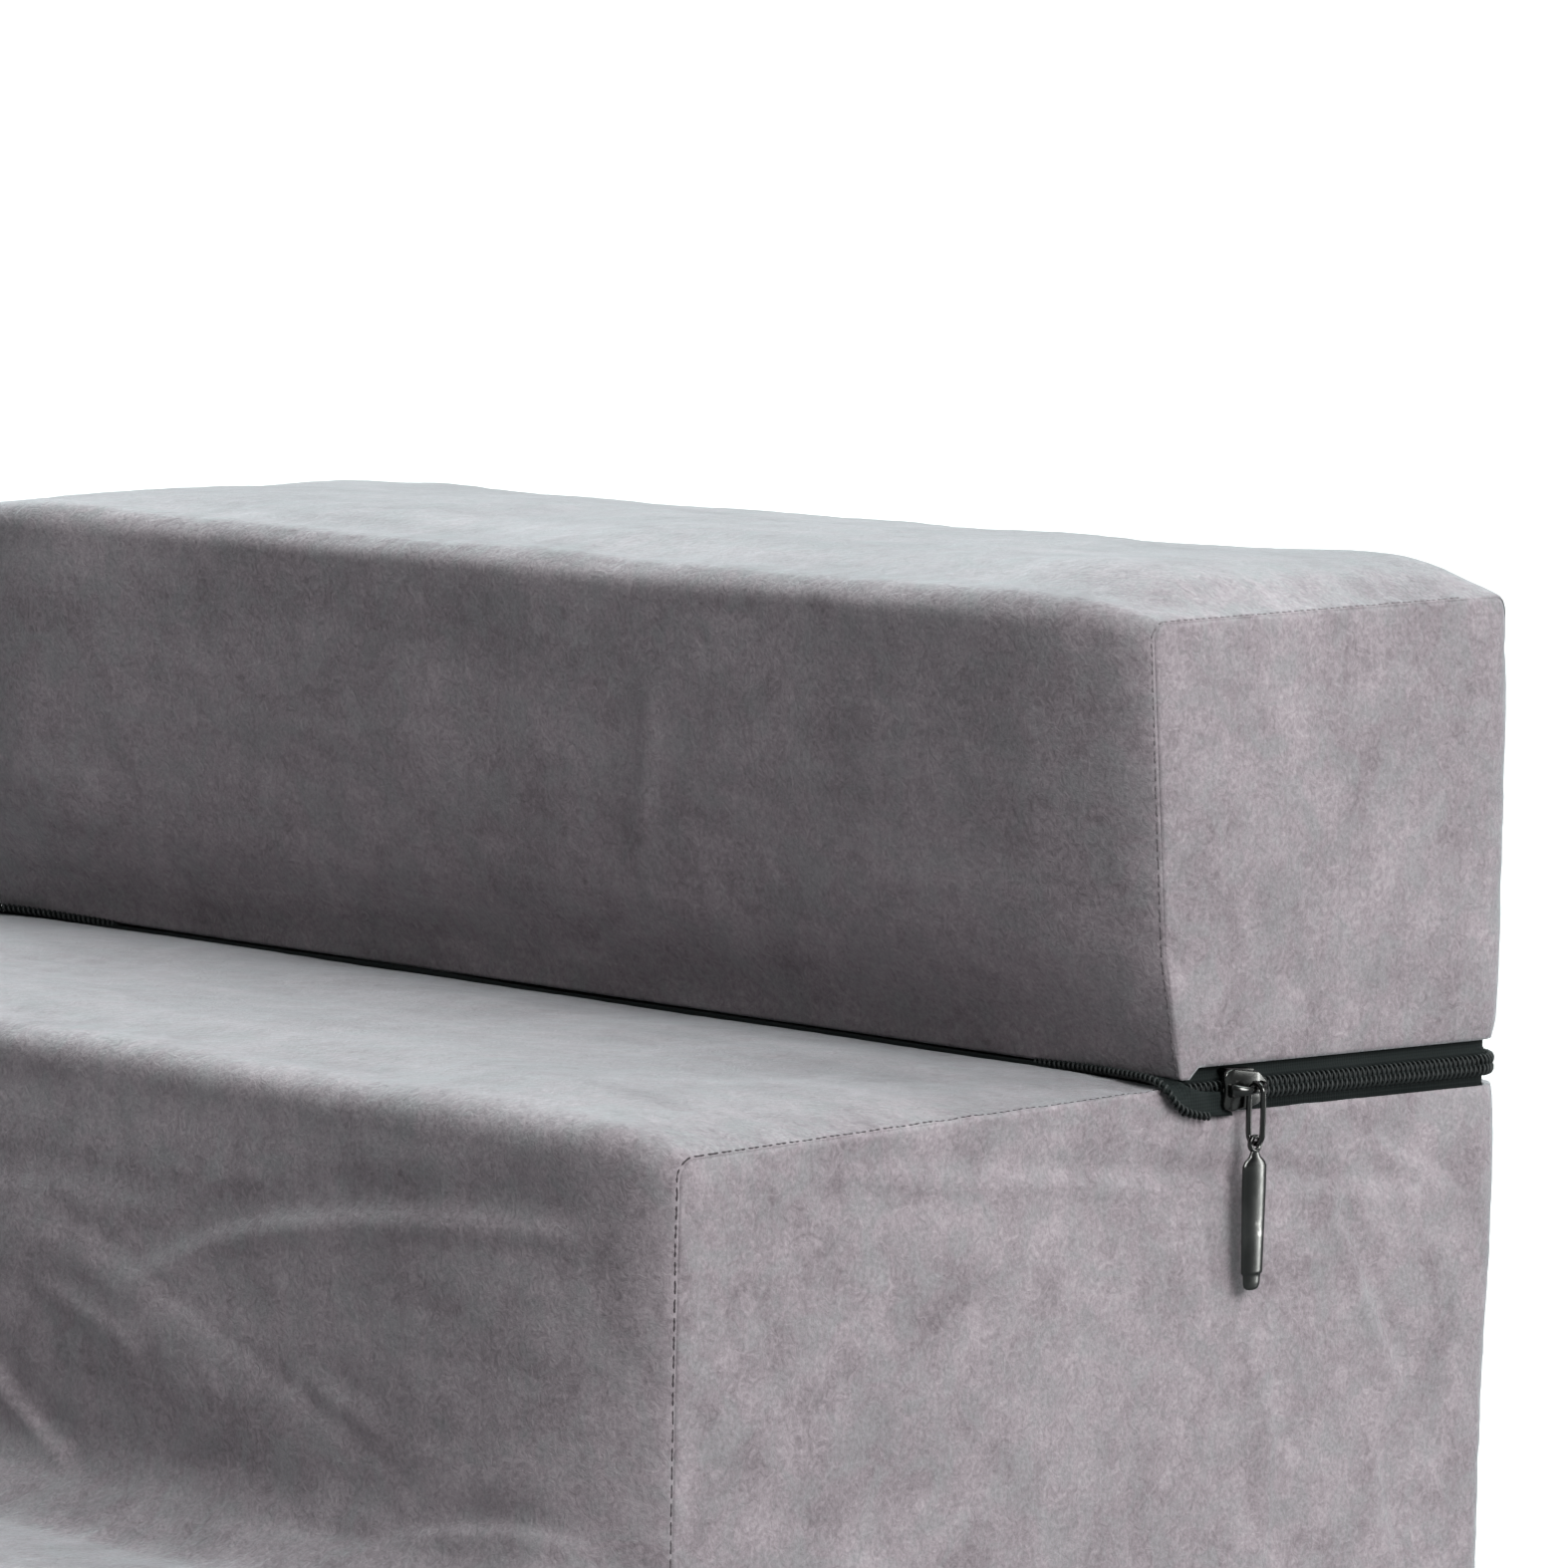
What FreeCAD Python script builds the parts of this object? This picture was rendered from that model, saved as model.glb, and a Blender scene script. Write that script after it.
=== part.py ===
import FreeCAD, Part
import math
import os

# Stepped foam dog ramp: three equal foam steps in a zip-off fabric cover.
# Millimetres. +Z up, the steps climb towards +Y, X is the width, and the
# zip pull is on the +X side. The origin is on the floor, mid-width and
# mid-depth.

# ---- driving dimensions -------------------------------------------------
step_height = 100.0        # rise of every step
overall_width = 380.0      # across the two side panels
tread_depth = 140.0        # run of the lower and the middle step
top_depth = 100.0          # run of the top block at its foot
top_overhang = 14.0        # the top block's front leans out by this at its top
cover_thickness = 2.0      # padded fabric
edge_radius = 10.0         # front and back top edges of the cover
inner_radius = 12.0        # soft corner where the riser meets the lower tread
corner_radius = 10.0       # upright corners at the back, seen from above

# fits and clearances
block_gap = 0.3            # between the top foam and the foam it stands on
crease_gap = 1.0           # front panel's hem above the middle tread
hinge_rise = 0.8           # hinge axis above the middle tread
foam_bevel = 12.0          # groove round the joint that the slider runs in
cut_over = 5.0             # cutting shapes run this far past what they cut

# zip
chain_drop = 1.5           # the chain's centre sits this far below the middle tread
coil_gap = 1.2             # between the two coil envelopes, for the slider's post
coil_width = 2.6
coil_depth = 2.8
tape_thickness = 1.0
tape_width = 8.4
band_half = 4.8            # panel hems stop this far from the chain's centre
slider_length = 13.0
slider_setback = 17.0      # slider's centre behind the front corner
plate_thickness = 1.2
lip_thickness = 0.7
slider_clear = 0.4         # plate to coil, and lip to tape
bail_radius = 0.75
bail_span = 9.0
bail_height = 3.0          # bar's centre line above the outer plate
wire_radius = 0.6
link_radius = 1.9          # centre line of the link's round ends
link_straight = 8.5
tab_length = 30.0
tab_width_top = 7.4
tab_width_tip = 6.4
tab_thickness = 1.4
tab_eye_radius = 1.0
tab_rim = 0.9
end_flap_width = 13.0
end_flap_depth = 4.0
end_flap_thickness = 0.6
bead_size = 1.6            # piping in the hinge crease

# ---- places worked out from them ----------------------------------------
half_w = overall_width / 2.0
depth = 2.0 * tread_depth + top_depth
y_front = -depth / 2.0
y_back = depth / 2.0
y_mid = y_front + tread_depth
y_hinge = y_mid + tread_depth
z_low = step_height
z_mid = 2.0 * step_height
z_top = 3.0 * step_height
z_chain = z_mid - chain_drop
t = cover_thickness
x_in = half_w - t
coil_start = y_hinge + t + 0.5
slider_y = y_hinge + slider_setback
upper_start = slider_y + slider_length / 2.0 + 2.0

SIDES = (("right", 1.0), ("left", -1.0))


# ---- small helpers ------------------------------------------------------
def vec(x, y, z):
    return FreeCAD.Vector(x, y, z)


def box(x0, x1, y0, y1, z0, z1):
    return Part.makeBox(x1 - x0, y1 - y0, z1 - z0, vec(x0, y0, z0))


def turn(p0, p1, p2):
    """Positive where the outline turns left at p1."""
    return (p1[0] - p0[0]) * (p2[1] - p1[1]) - (p1[1] - p0[1]) * (p2[0] - p1[0])


def inset_corners(corners, inset):
    """Moves every side of a counter-clockwise outline inwards."""
    moved = []
    count = len(corners)
    for i in range(count):
        p0, p1, p2 = corners[i - 1], corners[i], corners[(i + 1) % count]
        lines = []
        for a, b in ((p0, p1), (p1, p2)):
            dx, dy = b[0] - a[0], b[1] - a[1]
            size = math.hypot(dx, dy)
            nx, ny = -dy / size, dx / size
            lines.append((nx, ny, nx * (a[0] + nx * inset) + ny * (a[1] + ny * inset)))
        (a1, b1, c1), (a2, b2, c2) = lines
        det = a1 * b2 - a2 * b1
        x = (c1 * b2 - c2 * b1) / det
        y = (a1 * c2 - a2 * c1) / det
        radius = p1[2]
        if radius > 0:
            radius += -inset if turn(p0, p1, p2) > 0 else inset
        moved.append((x, y, max(radius, 0.0)))
    return moved


def outline_wire(corners, place):
    """Closed wire through (u, v, radius) corners; place maps u, v to a point."""
    count = len(corners)
    runs = []
    for i in range(count):
        p0, p1, p2 = corners[i - 1], corners[i], corners[(i + 1) % count]
        radius = p1[2]
        if radius <= 0:
            runs.append((p1[:2], None, p1[:2]))
            continue
        a = (p0[0] - p1[0], p0[1] - p1[1])
        b = (p2[0] - p1[0], p2[1] - p1[1])
        la, lb = math.hypot(*a), math.hypot(*b)
        a = (a[0] / la, a[1] / la)
        b = (b[0] / lb, b[1] / lb)
        half = math.acos(max(-1.0, min(1.0, a[0] * b[0] + a[1] * b[1]))) / 2.0
        reach = radius / math.tan(half)
        mid = (a[0] + b[0], a[1] + b[1])
        lm = math.hypot(*mid)
        far = radius / math.sin(half)
        centre = (p1[0] + mid[0] / lm * far, p1[1] + mid[1] / lm * far)
        top = (centre[0] - mid[0] / lm * radius, centre[1] - mid[1] / lm * radius)
        start = (p1[0] + a[0] * reach, p1[1] + a[1] * reach)
        end = (p1[0] + b[0] * reach, p1[1] + b[1] * reach)
        runs.append((start, top, end))
    edges = []
    for i in range(count):
        start, top, end = runs[i]
        if top is not None:
            edges.append(Part.Arc(place(*start), place(*top), place(*end)).toShape())
        nxt = runs[(i + 1) % count][0]
        if math.hypot(nxt[0] - end[0], nxt[1] - end[1]) > 1e-6:
            edges.append(Part.makeLine(place(*end), place(*nxt)))
    return Part.Wire(edges)


def side_prism(corners, x0, x1):
    """Extrudes a Y-Z outline across the width."""
    face = Part.Face(outline_wire(corners, lambda u, v: vec(x0, u, v)))
    return face.extrude(vec(x1 - x0, 0, 0))


def plan_prism(corners, z0, z1):
    """Extrudes an X-Y outline upwards."""
    face = Part.Face(outline_wire(corners, lambda u, v: vec(u, v, z0)))
    return face.extrude(vec(0, 0, z1 - z0))


def plan_corners(inset, y0=None):
    """The object from above, front corners square and back ones rounded."""
    front = y_front - 30.0 if y0 is None else y0
    r = corner_radius - inset
    xe, ye = half_w - inset, y_back - inset
    return [(-xe, front, 0), (xe, front, 0), (xe, ye, r), (-xe, ye, r)]


def sweep_band(inset, thick, z0, z1, y_left, y_right):
    """A flat band that runs back along one side, across the back and forward."""
    outer = plan_prism(plan_corners(inset, y_left), z0, z1)
    inner = plan_prism(plan_corners(inset + thick, y_left - cut_over), z0 - 1, z1 + 1)
    band = outer.cut(inner)
    if y_right > y_left:
        band = band.cut(box(0, half_w + 2 * cut_over, y_left - 1.0, y_right, z0 - 1, z1 + 1))
    return band


def joint_groove(z_flat, z_edge):
    """Bevel cutters round the right, back and left foam edges at the joint."""
    cutters = []
    for _, s in SIDES:
        tri = Part.makePolygon([
            vec(s * (x_in - foam_bevel), y_hinge, z_flat),
            vec(s * (x_in + cut_over), y_hinge, z_flat),
            vec(s * (x_in + cut_over), y_hinge, z_edge + (z_edge - z_flat) / foam_bevel * cut_over),
            vec(s * (x_in - foam_bevel), y_hinge, z_flat)])
        cutters.append(Part.Face(tri).extrude(vec(0, top_depth + cut_over, 0)))
    ye = y_back - t
    tri = Part.makePolygon([
        vec(-half_w - cut_over, ye - foam_bevel, z_flat),
        vec(-half_w - cut_over, ye + cut_over, z_flat),
        vec(-half_w - cut_over, ye + cut_over, z_edge + (z_edge - z_flat) / foam_bevel * cut_over),
        vec(-half_w - cut_over, ye - foam_bevel, z_flat)])
    cutters.append(Part.Face(tri).extrude(vec(overall_width + 2 * cut_over, 0, 0)))
    return cutters[0].fuse(cutters[1:])


def biggest(shape):
    """The one solid of a boolean's result."""
    return max(shape.Solids, key=lambda s: s.Volume)


# ---- whole volumes the pieces are cut from ------------------------------
base_outline = [
    (y_front, 0.0, 0),
    (y_back, 0.0, 0),
    (y_back, z_mid, 0),
    (y_mid, z_mid, edge_radius),
    (y_mid, z_low, inner_radius),
    (y_front, z_low, edge_radius)]
top_outline = [
    (y_hinge, z_mid, 0),
    (y_back, z_mid, 0),
    (y_back, z_top, edge_radius),
    (y_hinge - top_overhang, z_top, edge_radius)]

BIG = 1000.0
plan_outer = plan_prism(plan_corners(0.0), -cut_over, z_top + cut_over)
plan_inner = plan_prism(plan_corners(t), -cut_over, z_top + cut_over)

base_whole = side_prism(base_outline, -half_w, half_w).common(plan_outer)
base_core = side_prism(inset_corners(base_outline, t), -x_in, x_in).common(plan_inner)
top_whole = side_prism(top_outline, -half_w, half_w).common(plan_outer)
top_core = side_prism(inset_corners(top_outline, t), -x_in, x_in).common(plan_inner)
# the top block's core goes down to the foam under it
top_core = top_core.fuse(
    box(-x_in, x_in, y_hinge + t, y_back - t, z_mid - t + block_gap, z_mid + t + 1.0)
    .common(plan_inner)).removeSplitter()

nodes = {}

# ---- foam ---------------------------------------------------------------
z_split = z_low - t
nodes["base_foam_lower"] = biggest(base_core.common(
    box(-BIG, BIG, -BIG, BIG, 0, z_split)))
upper = base_core.common(box(-BIG, BIG, -BIG, BIG, z_split, BIG))
upper = upper.cut(box(-BIG, BIG, -BIG, y_mid + t, -1, z_low + inner_radius + 5))
upper = upper.cut(joint_groove(z_mid - t, z_mid - t - foam_bevel))
nodes["base_foam_upper"] = biggest(upper.cut(sweep_band(
    t - 1.0, tape_thickness + 1.2, z_chain - coil_gap / 2.0 - tape_width - 0.2, z_mid,
    coil_start - 0.2, coil_start - 0.2)))
top_block = top_core.cut(
    joint_groove(z_mid - t + block_gap, z_mid - t + block_gap + foam_bevel))
# the tape lies in its own recess where the groove gets shallow at the corners
nodes["top_foam"] = biggest(top_block.cut(sweep_band(
    t - 1.0, tape_thickness + 1.2, z_mid - t, z_chain + coil_gap / 2.0 + tape_width + 0.2,
    coil_start - 0.2, coil_start - 0.2)))

# ---- base cover ---------------------------------------------------------
base_cover = base_whole.cut(base_core)
band_low = z_chain - band_half
band_high = z_chain + band_half
nodes["base_bottom_panel"] = biggest(base_cover.common(
    box(-BIG, BIG, -BIG, BIG, 0, t)))
walls = base_cover.common(box(-BIG, BIG, -BIG, BIG, t, BIG))
# the joint is open on top of the foam behind the crease
walls = walls.cut(box(-x_in, x_in, y_hinge, y_back - t, z_mid - t, z_mid + 1))
walls = walls.cut(box(-BIG, BIG, y_hinge, BIG, band_low, z_mid + 1))
inner = plan_inner.common(box(-BIG, BIG, -BIG, y_back - t, -10, BIG))
front_run = walls.common(inner)
rim = walls.cut(inner)
nodes["base_front_run"] = biggest(front_run)
y_tangent = y_back - corner_radius
nodes["base_back_panel"] = biggest(rim.common(box(-BIG, BIG, y_tangent, BIG, 0, BIG)))
for side, s in SIDES:
    half = box(0, BIG, -BIG, y_tangent, 0, BIG) if s > 0 else box(-BIG, 0, -BIG, y_tangent, 0, BIG)
    nodes["base_side_panel_" + side] = biggest(rim.common(half))

# ---- top cover ----------------------------------------------------------
top_cover = top_whole.cut(top_core)
hem = z_mid + crease_gap
wrap = top_cover.common(inner).common(box(-BIG, BIG, -BIG, BIG, hem, BIG))
nodes["top_wrap_panel"] = biggest(wrap)
top_rim = top_cover.cut(inner).common(box(-BIG, BIG, -BIG, BIG, band_high, BIG))
nodes["top_back_panel"] = biggest(top_rim.common(box(-BIG, BIG, y_tangent, BIG, 0, BIG)))
for side, s in SIDES:
    half = box(0, BIG, -BIG, y_tangent, 0, BIG) if s > 0 else box(-BIG, 0, -BIG, y_tangent, 0, BIG)
    nodes["top_side_panel_" + side] = biggest(top_rim.common(half))

# ---- hinge crease -------------------------------------------------------
nodes["hinge_bead"] = box(-x_in + 2.0, x_in - 2.0, y_hinge, y_hinge + bead_size,
                          z_mid - t, z_mid - t + bead_size)

# ---- zip ----------------------------------------------------------------
z_coil_low = z_chain - coil_gap / 2.0
z_coil_high = z_chain + coil_gap / 2.0
nodes["zip_tape_lower"] = sweep_band(
    t, tape_thickness, z_coil_low - tape_width, z_coil_low, coil_start, coil_start)
nodes["zip_coil_lower"] = sweep_band(
    t - coil_depth, coil_depth, z_coil_low - coil_width, z_coil_low, coil_start, coil_start)
nodes["zip_tape_upper"] = sweep_band(
    t, tape_thickness, z_coil_high, z_coil_high + tape_width, coil_start, coil_start)
nodes["zip_coil_upper"] = sweep_band(
    t - coil_depth, coil_depth, z_coil_high, z_coil_high + coil_width,
    coil_start, upper_start)
for side, s in SIDES:
    x0 = s * half_w
    x1 = s * (half_w - end_flap_width)
    nodes["zip_end_flap_" + side] = box(
        min(x0, x1), max(x0, x1), y_hinge - end_flap_depth, y_hinge,
        z_mid, z_mid + end_flap_thickness)

# ---- slider -------------------------------------------------------------
x_coil = half_w - t + coil_depth
x_plate = x_coil + slider_clear
x_face = x_plate + plate_thickness
y0 = slider_y - slider_length / 2.0
y1 = slider_y + slider_length / 2.0
z_lip = band_half - slider_clear
plate = box(x_plate, x_face, y0, y1, z_chain - z_lip, z_chain + z_lip)
upright = []
for e in plate.Edges:
    p, q = e.Vertexes[0].Point, e.Vertexes[-1].Point
    if abs(p.x - q.x) > plate_thickness / 2.0:
        upright.append(e)
plate = plate.makeFillet(2.0, upright)
lip_reach = x_in + slider_clear
body = [plate]
for s in (-1.0, 1.0):
    za = z_chain + s * (z_lip - lip_thickness)
    zb = z_chain + s * z_lip
    body.append(box(lip_reach, x_plate + 0.1, y0 + 2.0, y1 - 2.0, min(za, zb), max(za, zb)))
x_back = x_in - tape_thickness - slider_clear - 0.2
post_half = coil_gap / 2.0 - 0.15
body.append(box(x_back - 0.1, x_plate + 0.1, y0 + 0.4, y0 + 4.4,
                z_chain - post_half, z_chain + post_half))
body.append(box(x_back - plate_thickness, x_back, y0, y1, z_chain - 3.7, z_chain + 3.7))
x_bail = x_face + bail_height
bar = Part.makeCylinder(bail_radius, bail_span, vec(x_bail, slider_y - bail_span / 2.0, z_chain),
                        vec(0, 1, 0))
body.append(bar)
for s in (-1.0, 1.0):
    foot = slider_y + s * bail_span / 2.0
    body.append(Part.makeCylinder(bail_radius, bail_height + 0.2, vec(x_face - 0.2, foot, z_chain),
                                  vec(1, 0, 0)))
    body.append(Part.makeSphere(bail_radius, vec(x_bail, foot, z_chain)))
nodes["slider_body"] = body[0].fuse(body[1:]).removeSplitter()

# ---- link: a closed wire loop round the bail's bar ----------------------
link_top = z_chain + bail_radius + 0.1 - (link_radius - wire_radius)
link_low = link_top - link_straight
loop = []
for z, a0 in ((link_top, 0.0), (link_low, 180.0)):
    path = Part.makeCircle(link_radius, vec(x_bail, slider_y, z), vec(0, -1, 0), a0, a0 + 180.0)
    start = path.Vertexes[0].Point
    profile = Part.Wire(Part.makeCircle(wire_radius, start, vec(0, 0, 1)))
    loop.append(Part.Wire(path).makePipeShell([profile], True, False))
for s in (-1.0, 1.0):
    loop.append(Part.makeCylinder(wire_radius, link_straight,
                                  vec(x_bail + s * link_radius, slider_y, link_low)))
nodes["pull_link"] = loop[0].fuse(loop[1:]).removeSplitter()

# ---- tab: a tapered plate with an eye, hanging on the link --------------
z_eye = link_low - link_radius
eye_outer = tab_eye_radius + tab_rim
z_shoulder = z_eye - eye_outer - 2.2
z_tip = z_eye - tab_length
tab_corners = [
    (slider_y - 1.6, z_eye, 0),
    (slider_y - 1.6, z_eye - eye_outer, 1.0),
    (slider_y - tab_width_top / 2.0, z_shoulder, 1.5),
    (slider_y - tab_width_tip / 2.0, z_tip, 1.4),
    (slider_y + tab_width_tip / 2.0, z_tip, 1.4),
    (slider_y + tab_width_top / 2.0, z_shoulder, 1.5),
    (slider_y + 1.6, z_eye - eye_outer, 1.0),
    (slider_y + 1.6, z_eye, 0)]
tab = side_prism(tab_corners, x_bail - tab_thickness / 2.0, x_bail + tab_thickness / 2.0)
eye = Part.makeCylinder(eye_outer, tab_thickness, vec(x_bail - tab_thickness / 2.0, slider_y, z_eye),
                        vec(1, 0, 0))
hole = Part.makeCylinder(tab_eye_radius, tab_thickness + 2.0,
                         vec(x_bail - tab_thickness / 2.0 - 1.0, slider_y, z_eye), vec(1, 0, 0))
nodes["pull_tab"] = tab.fuse(eye).cut(hole).removeSplitter()

# ---- one STEP file for each node ----------------------------------------
os.makedirs("parts", exist_ok=True)
for name in sorted(nodes):
    nodes[name].exportStep("parts/" + name + ".step")
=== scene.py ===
import math

import bmesh
import bpy
import numpy as np
from mathutils import Matrix, Vector
from mathutils.geometry import delaunay_2d_cdt
from mathutils.kdtree import KDTree


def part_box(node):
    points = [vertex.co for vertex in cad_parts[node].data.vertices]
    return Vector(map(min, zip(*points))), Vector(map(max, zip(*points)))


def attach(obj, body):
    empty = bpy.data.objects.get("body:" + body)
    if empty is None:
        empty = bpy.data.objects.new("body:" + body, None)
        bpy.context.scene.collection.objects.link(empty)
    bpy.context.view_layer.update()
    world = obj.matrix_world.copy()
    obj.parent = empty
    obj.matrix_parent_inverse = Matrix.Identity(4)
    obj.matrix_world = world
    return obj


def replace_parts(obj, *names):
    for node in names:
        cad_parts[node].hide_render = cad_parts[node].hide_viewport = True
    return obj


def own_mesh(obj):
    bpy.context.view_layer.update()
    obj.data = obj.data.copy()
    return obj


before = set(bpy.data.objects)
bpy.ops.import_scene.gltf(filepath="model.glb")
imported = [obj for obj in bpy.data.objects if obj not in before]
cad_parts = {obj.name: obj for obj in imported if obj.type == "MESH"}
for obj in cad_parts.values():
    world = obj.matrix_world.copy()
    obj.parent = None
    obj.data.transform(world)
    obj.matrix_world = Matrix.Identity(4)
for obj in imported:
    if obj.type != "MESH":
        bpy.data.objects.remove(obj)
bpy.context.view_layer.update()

# A stepped foam dog ramp in a zip-off suede cover. Lengths are millimetres until a
# mesh is made, and the frame is the CAD's: the steps climb towards +Y, X is the
# width, and the zip pull hangs on the +X side.
MM = 0.001
TAU = 2.0 * math.pi


def box_mm(node):
    return [[v * 1000.0 for v in corner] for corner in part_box(node)]


BOTTOM_LO, BOTTOM_HI = box_mm("base_bottom_panel")
HW = BOTTOM_HI[0]  # half the width
YF, YB = BOTTOM_LO[1], BOTTOM_HI[1]  # front and back
Y_HINGE = box_mm("base_front_run")[1][1]
T = BOTTOM_HI[2] - BOTTOM_LO[2]  # cover thickness
Z1 = box_mm("base_foam_lower")[1][2] + T  # lower tread
Z2 = box_mm("base_front_run")[1][2]  # middle tread
Z3 = box_mm("top_wrap_panel")[1][2]  # top
Y_MID = box_mm("base_foam_upper")[0][1] - T  # middle riser
SLIDER_LO, SLIDER_HI = box_mm("slider_body")
Z_CHAIN = (SLIDER_LO[2] + SLIDER_HI[2]) / 2.0
Y_SLIDER = (SLIDER_LO[1] + SLIDER_HI[1]) / 2.0
HEM_LOW = box_mm("base_back_panel")[1][2]  # base panels' hem at the zip
HEM_HIGH = box_mm("top_back_panel")[0][2]  # top panels' hem at the zip
OVERHANG = 14.0  # lean of the top block's front
R_PLAN = 10.0  # upright corners at the back
SEAM_X = 176.0  # upright back seams, from the middle
FOOT = 0.8  # lower edge of the cover above the floor
ROLL = 5.0  # drop from a tread to its side seam
CLOTH = 1.5  # shown thickness of a side or back panel
NEXT_ROWS = (0.8, 1.8)  # the first rows of points in from a panel's cut edge
STITCH = 3.6  # stitch pitch
SIDES = (("right", 1.0), ("left", -1.0))


# ---- fields
def smoothstep(e0, e1, v):
    u = np.clip((v - e0) / (e1 - e0), 0, 1)
    return u * u * (3 - 2 * u)


def between(v, a, b, c, d):
    """Rises from 0 to 1 over a to b, and falls again over c to d."""
    return smoothstep(a, b, v) * (1 - smoothstep(c, d, v))


def unit(v):
    """A vector, or each row of vectors, brought to length 1."""
    return v / np.maximum(np.linalg.norm(v, axis=-1, keepdims=True), 1e-9)


def waves(p, wavelength, count, seed):
    """Smooth made-up unevenness, about -1 to 1, from plane waves of one size."""
    rng = np.random.RandomState(seed)
    out = np.zeros(len(p))
    for _ in range(count):
        d = unit(rng.normal(size=3))
        k = TAU / (wavelength * (1.0 + 0.35 * (rng.rand() * 2 - 1)))
        out += np.sin(p @ (d * k) + rng.rand() * TAU)
    return out / math.sqrt(count / 2.0) / 1.8


def seg_dist(a, b, pts):
    """Distance from points (a, b) to a line of points, the side of it, and the share along it."""
    best = np.full(len(a), 1e9)
    side = np.zeros(len(a))
    along = np.zeros(len(a))
    lengths = [np.linalg.norm(q1 - q0) for q0, q1 in zip(pts, pts[1:])]
    total, run = sum(lengths), 0.0
    for q0, q1, ln in zip(pts, pts[1:], lengths):
        d = (q1 - q0) / ln
        u = np.clip((a - q0[0]) * d[0] + (b - q0[1]) * d[1], 0, ln)
        ea, eb = a - q0[0] - u * d[0], b - q0[1] - u * d[1]
        dist = np.hypot(ea, eb)
        near = dist < best
        best = np.where(near, dist, best)
        side = np.where(near, np.sign(d[0] * eb - d[1] * ea), side)
        along = np.where(near, (run + u) / total, along)
        run += ln
    return best, side, along


def smooth_line(pts, rounds=3):
    """Chaikin's corner cutting, ends kept."""
    pts = [np.array(p, float) for p in pts]
    if len(pts) < 3:
        return pts
    for _ in range(rounds):
        new = [pts[0]]
        for p, q in zip(pts, pts[1:]):
            new += [0.75 * p + 0.25 * q, 0.25 * p + 0.75 * q]
        pts = new + [pts[-1]]
    return pts


def fold(a, b, pts, width, height, lean):
    """A creased fold: a soft ridge, a shallower valley on one side and a fine nip between."""
    dist, side, along = seg_dist(a, b, smooth_line(pts))
    fade = np.sin(np.clip(along, 0.0, 1.0) * math.pi) ** 0.6
    s = dist * side
    width, height = 0.72 * width, 0.85 * height
    ridge = np.exp(-(s / width) ** 2)
    valley = np.exp(-((s - 1.7 * width) / (1.3 * width)) ** 2)
    nip = np.exp(-((s - 0.9 * width) / 1.5) ** 2)
    return height * fade * (0.8 * ridge - lean * valley - 0.35 * nip)


def folds(a, b, table):
    return sum(fold(a, b, *row) for row in table)


def pucker(s, gap, seed, size=0.22):
    """Short waves along a seam, strongest just beside it."""
    rng = np.random.RandomState(seed)
    out = np.zeros(len(s))
    for _ in range(5):
        wavelength = 9.0 + 10.0 * rng.rand()
        out += np.sin(TAU * s / wavelength + rng.rand() * 6.28)
    return size * out / 2.2 * np.exp(-gap / 5.0) * (1 - np.exp(-gap / 1.2))


def belly(v, lo, hi, rise=8.0):
    """A bulge that is fullest low down and runs out evenly towards the top."""
    v = np.clip(v, lo, hi)
    return (1 - np.exp(-(v - lo) / rise)) * (hi - v) / (hi - lo)


def filled(gap, reach):
    """0 at a seam, and 1 well away from it."""
    return 1 - np.exp(-gap / reach)


def groove(gap, depth=0.4, width=1.1):
    """How far the cloth is drawn in at a distance from a seam."""
    return depth * np.exp(-gap / width)


def uneven(q, cloth, pts, seed, wavelength, shares, count=20):
    """Long waves, the simulated wrinkles and short waves, in three shares."""
    broad, made, fine = shares
    out = broad * waves(q, wavelength, 16, seed) + made * cloth.at(pts)
    return out + fine * waves(q, 9.0, count, seed + 2)


# ---- outlines
def path_lengths(path):
    """Distance along a path at each of its points."""
    return np.concatenate([[0], np.cumsum(np.linalg.norm(np.diff(path, axis=0), axis=1))])


def points_at(where, lengths, path):
    """The points at set distances along a path."""
    return np.column_stack([np.interp(where, lengths, path[:, i]) for i in range(3)])


def corner_arc(p0, p1, p2, r):
    """Centre, start and end of the arc that rounds the corner p1."""
    a, b = unit(p0 - p1), unit(p2 - p1)
    half = math.acos(np.clip(a @ b, -1, 1)) / 2
    reach = r / math.tan(half)
    centre = p1 + unit(a + b) * r / math.sin(half)
    return centre, p1 + a * reach, p1 + b * reach


def arc_points(centre, r, start, end, shares):
    a0, a1 = (math.atan2(*(q - centre)[::-1]) for q in (start, end))
    da = (a1 - a0 + math.pi) % TAU - math.pi
    return [centre + r * np.array([math.cos(a0 + da * t), math.sin(a0 + da * t)]) for t in shares]


def rounded_path(corners):
    """The straight runs and arcs of a line with rounded corners: start, end and arc."""
    runs = []
    last = np.array(corners[0][:2], float)
    for i in range(1, len(corners)):
        p1 = np.array(corners[i][:2], float)
        if len(corners[i]) == 2:
            runs.append((last, p1, None))
            last = p1
            continue
        r = corners[i][2]
        centre, start, end = corner_arc(last, p1, np.array(corners[i + 1][:2], float), r)
        runs += [(last, start, None), (start, end, (centre, r))]
        last = end
    return runs


def sample_runs(runs, counts):
    out = [runs[0][0]]
    for (p, q, arc), n in zip(runs, counts):
        shares = [k / n for k in range(1, n + 1)]
        out += arc_points(*arc, p, q, shares) if arc else [p + (q - p) * t for t in shares]
    return np.array(out)


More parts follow.
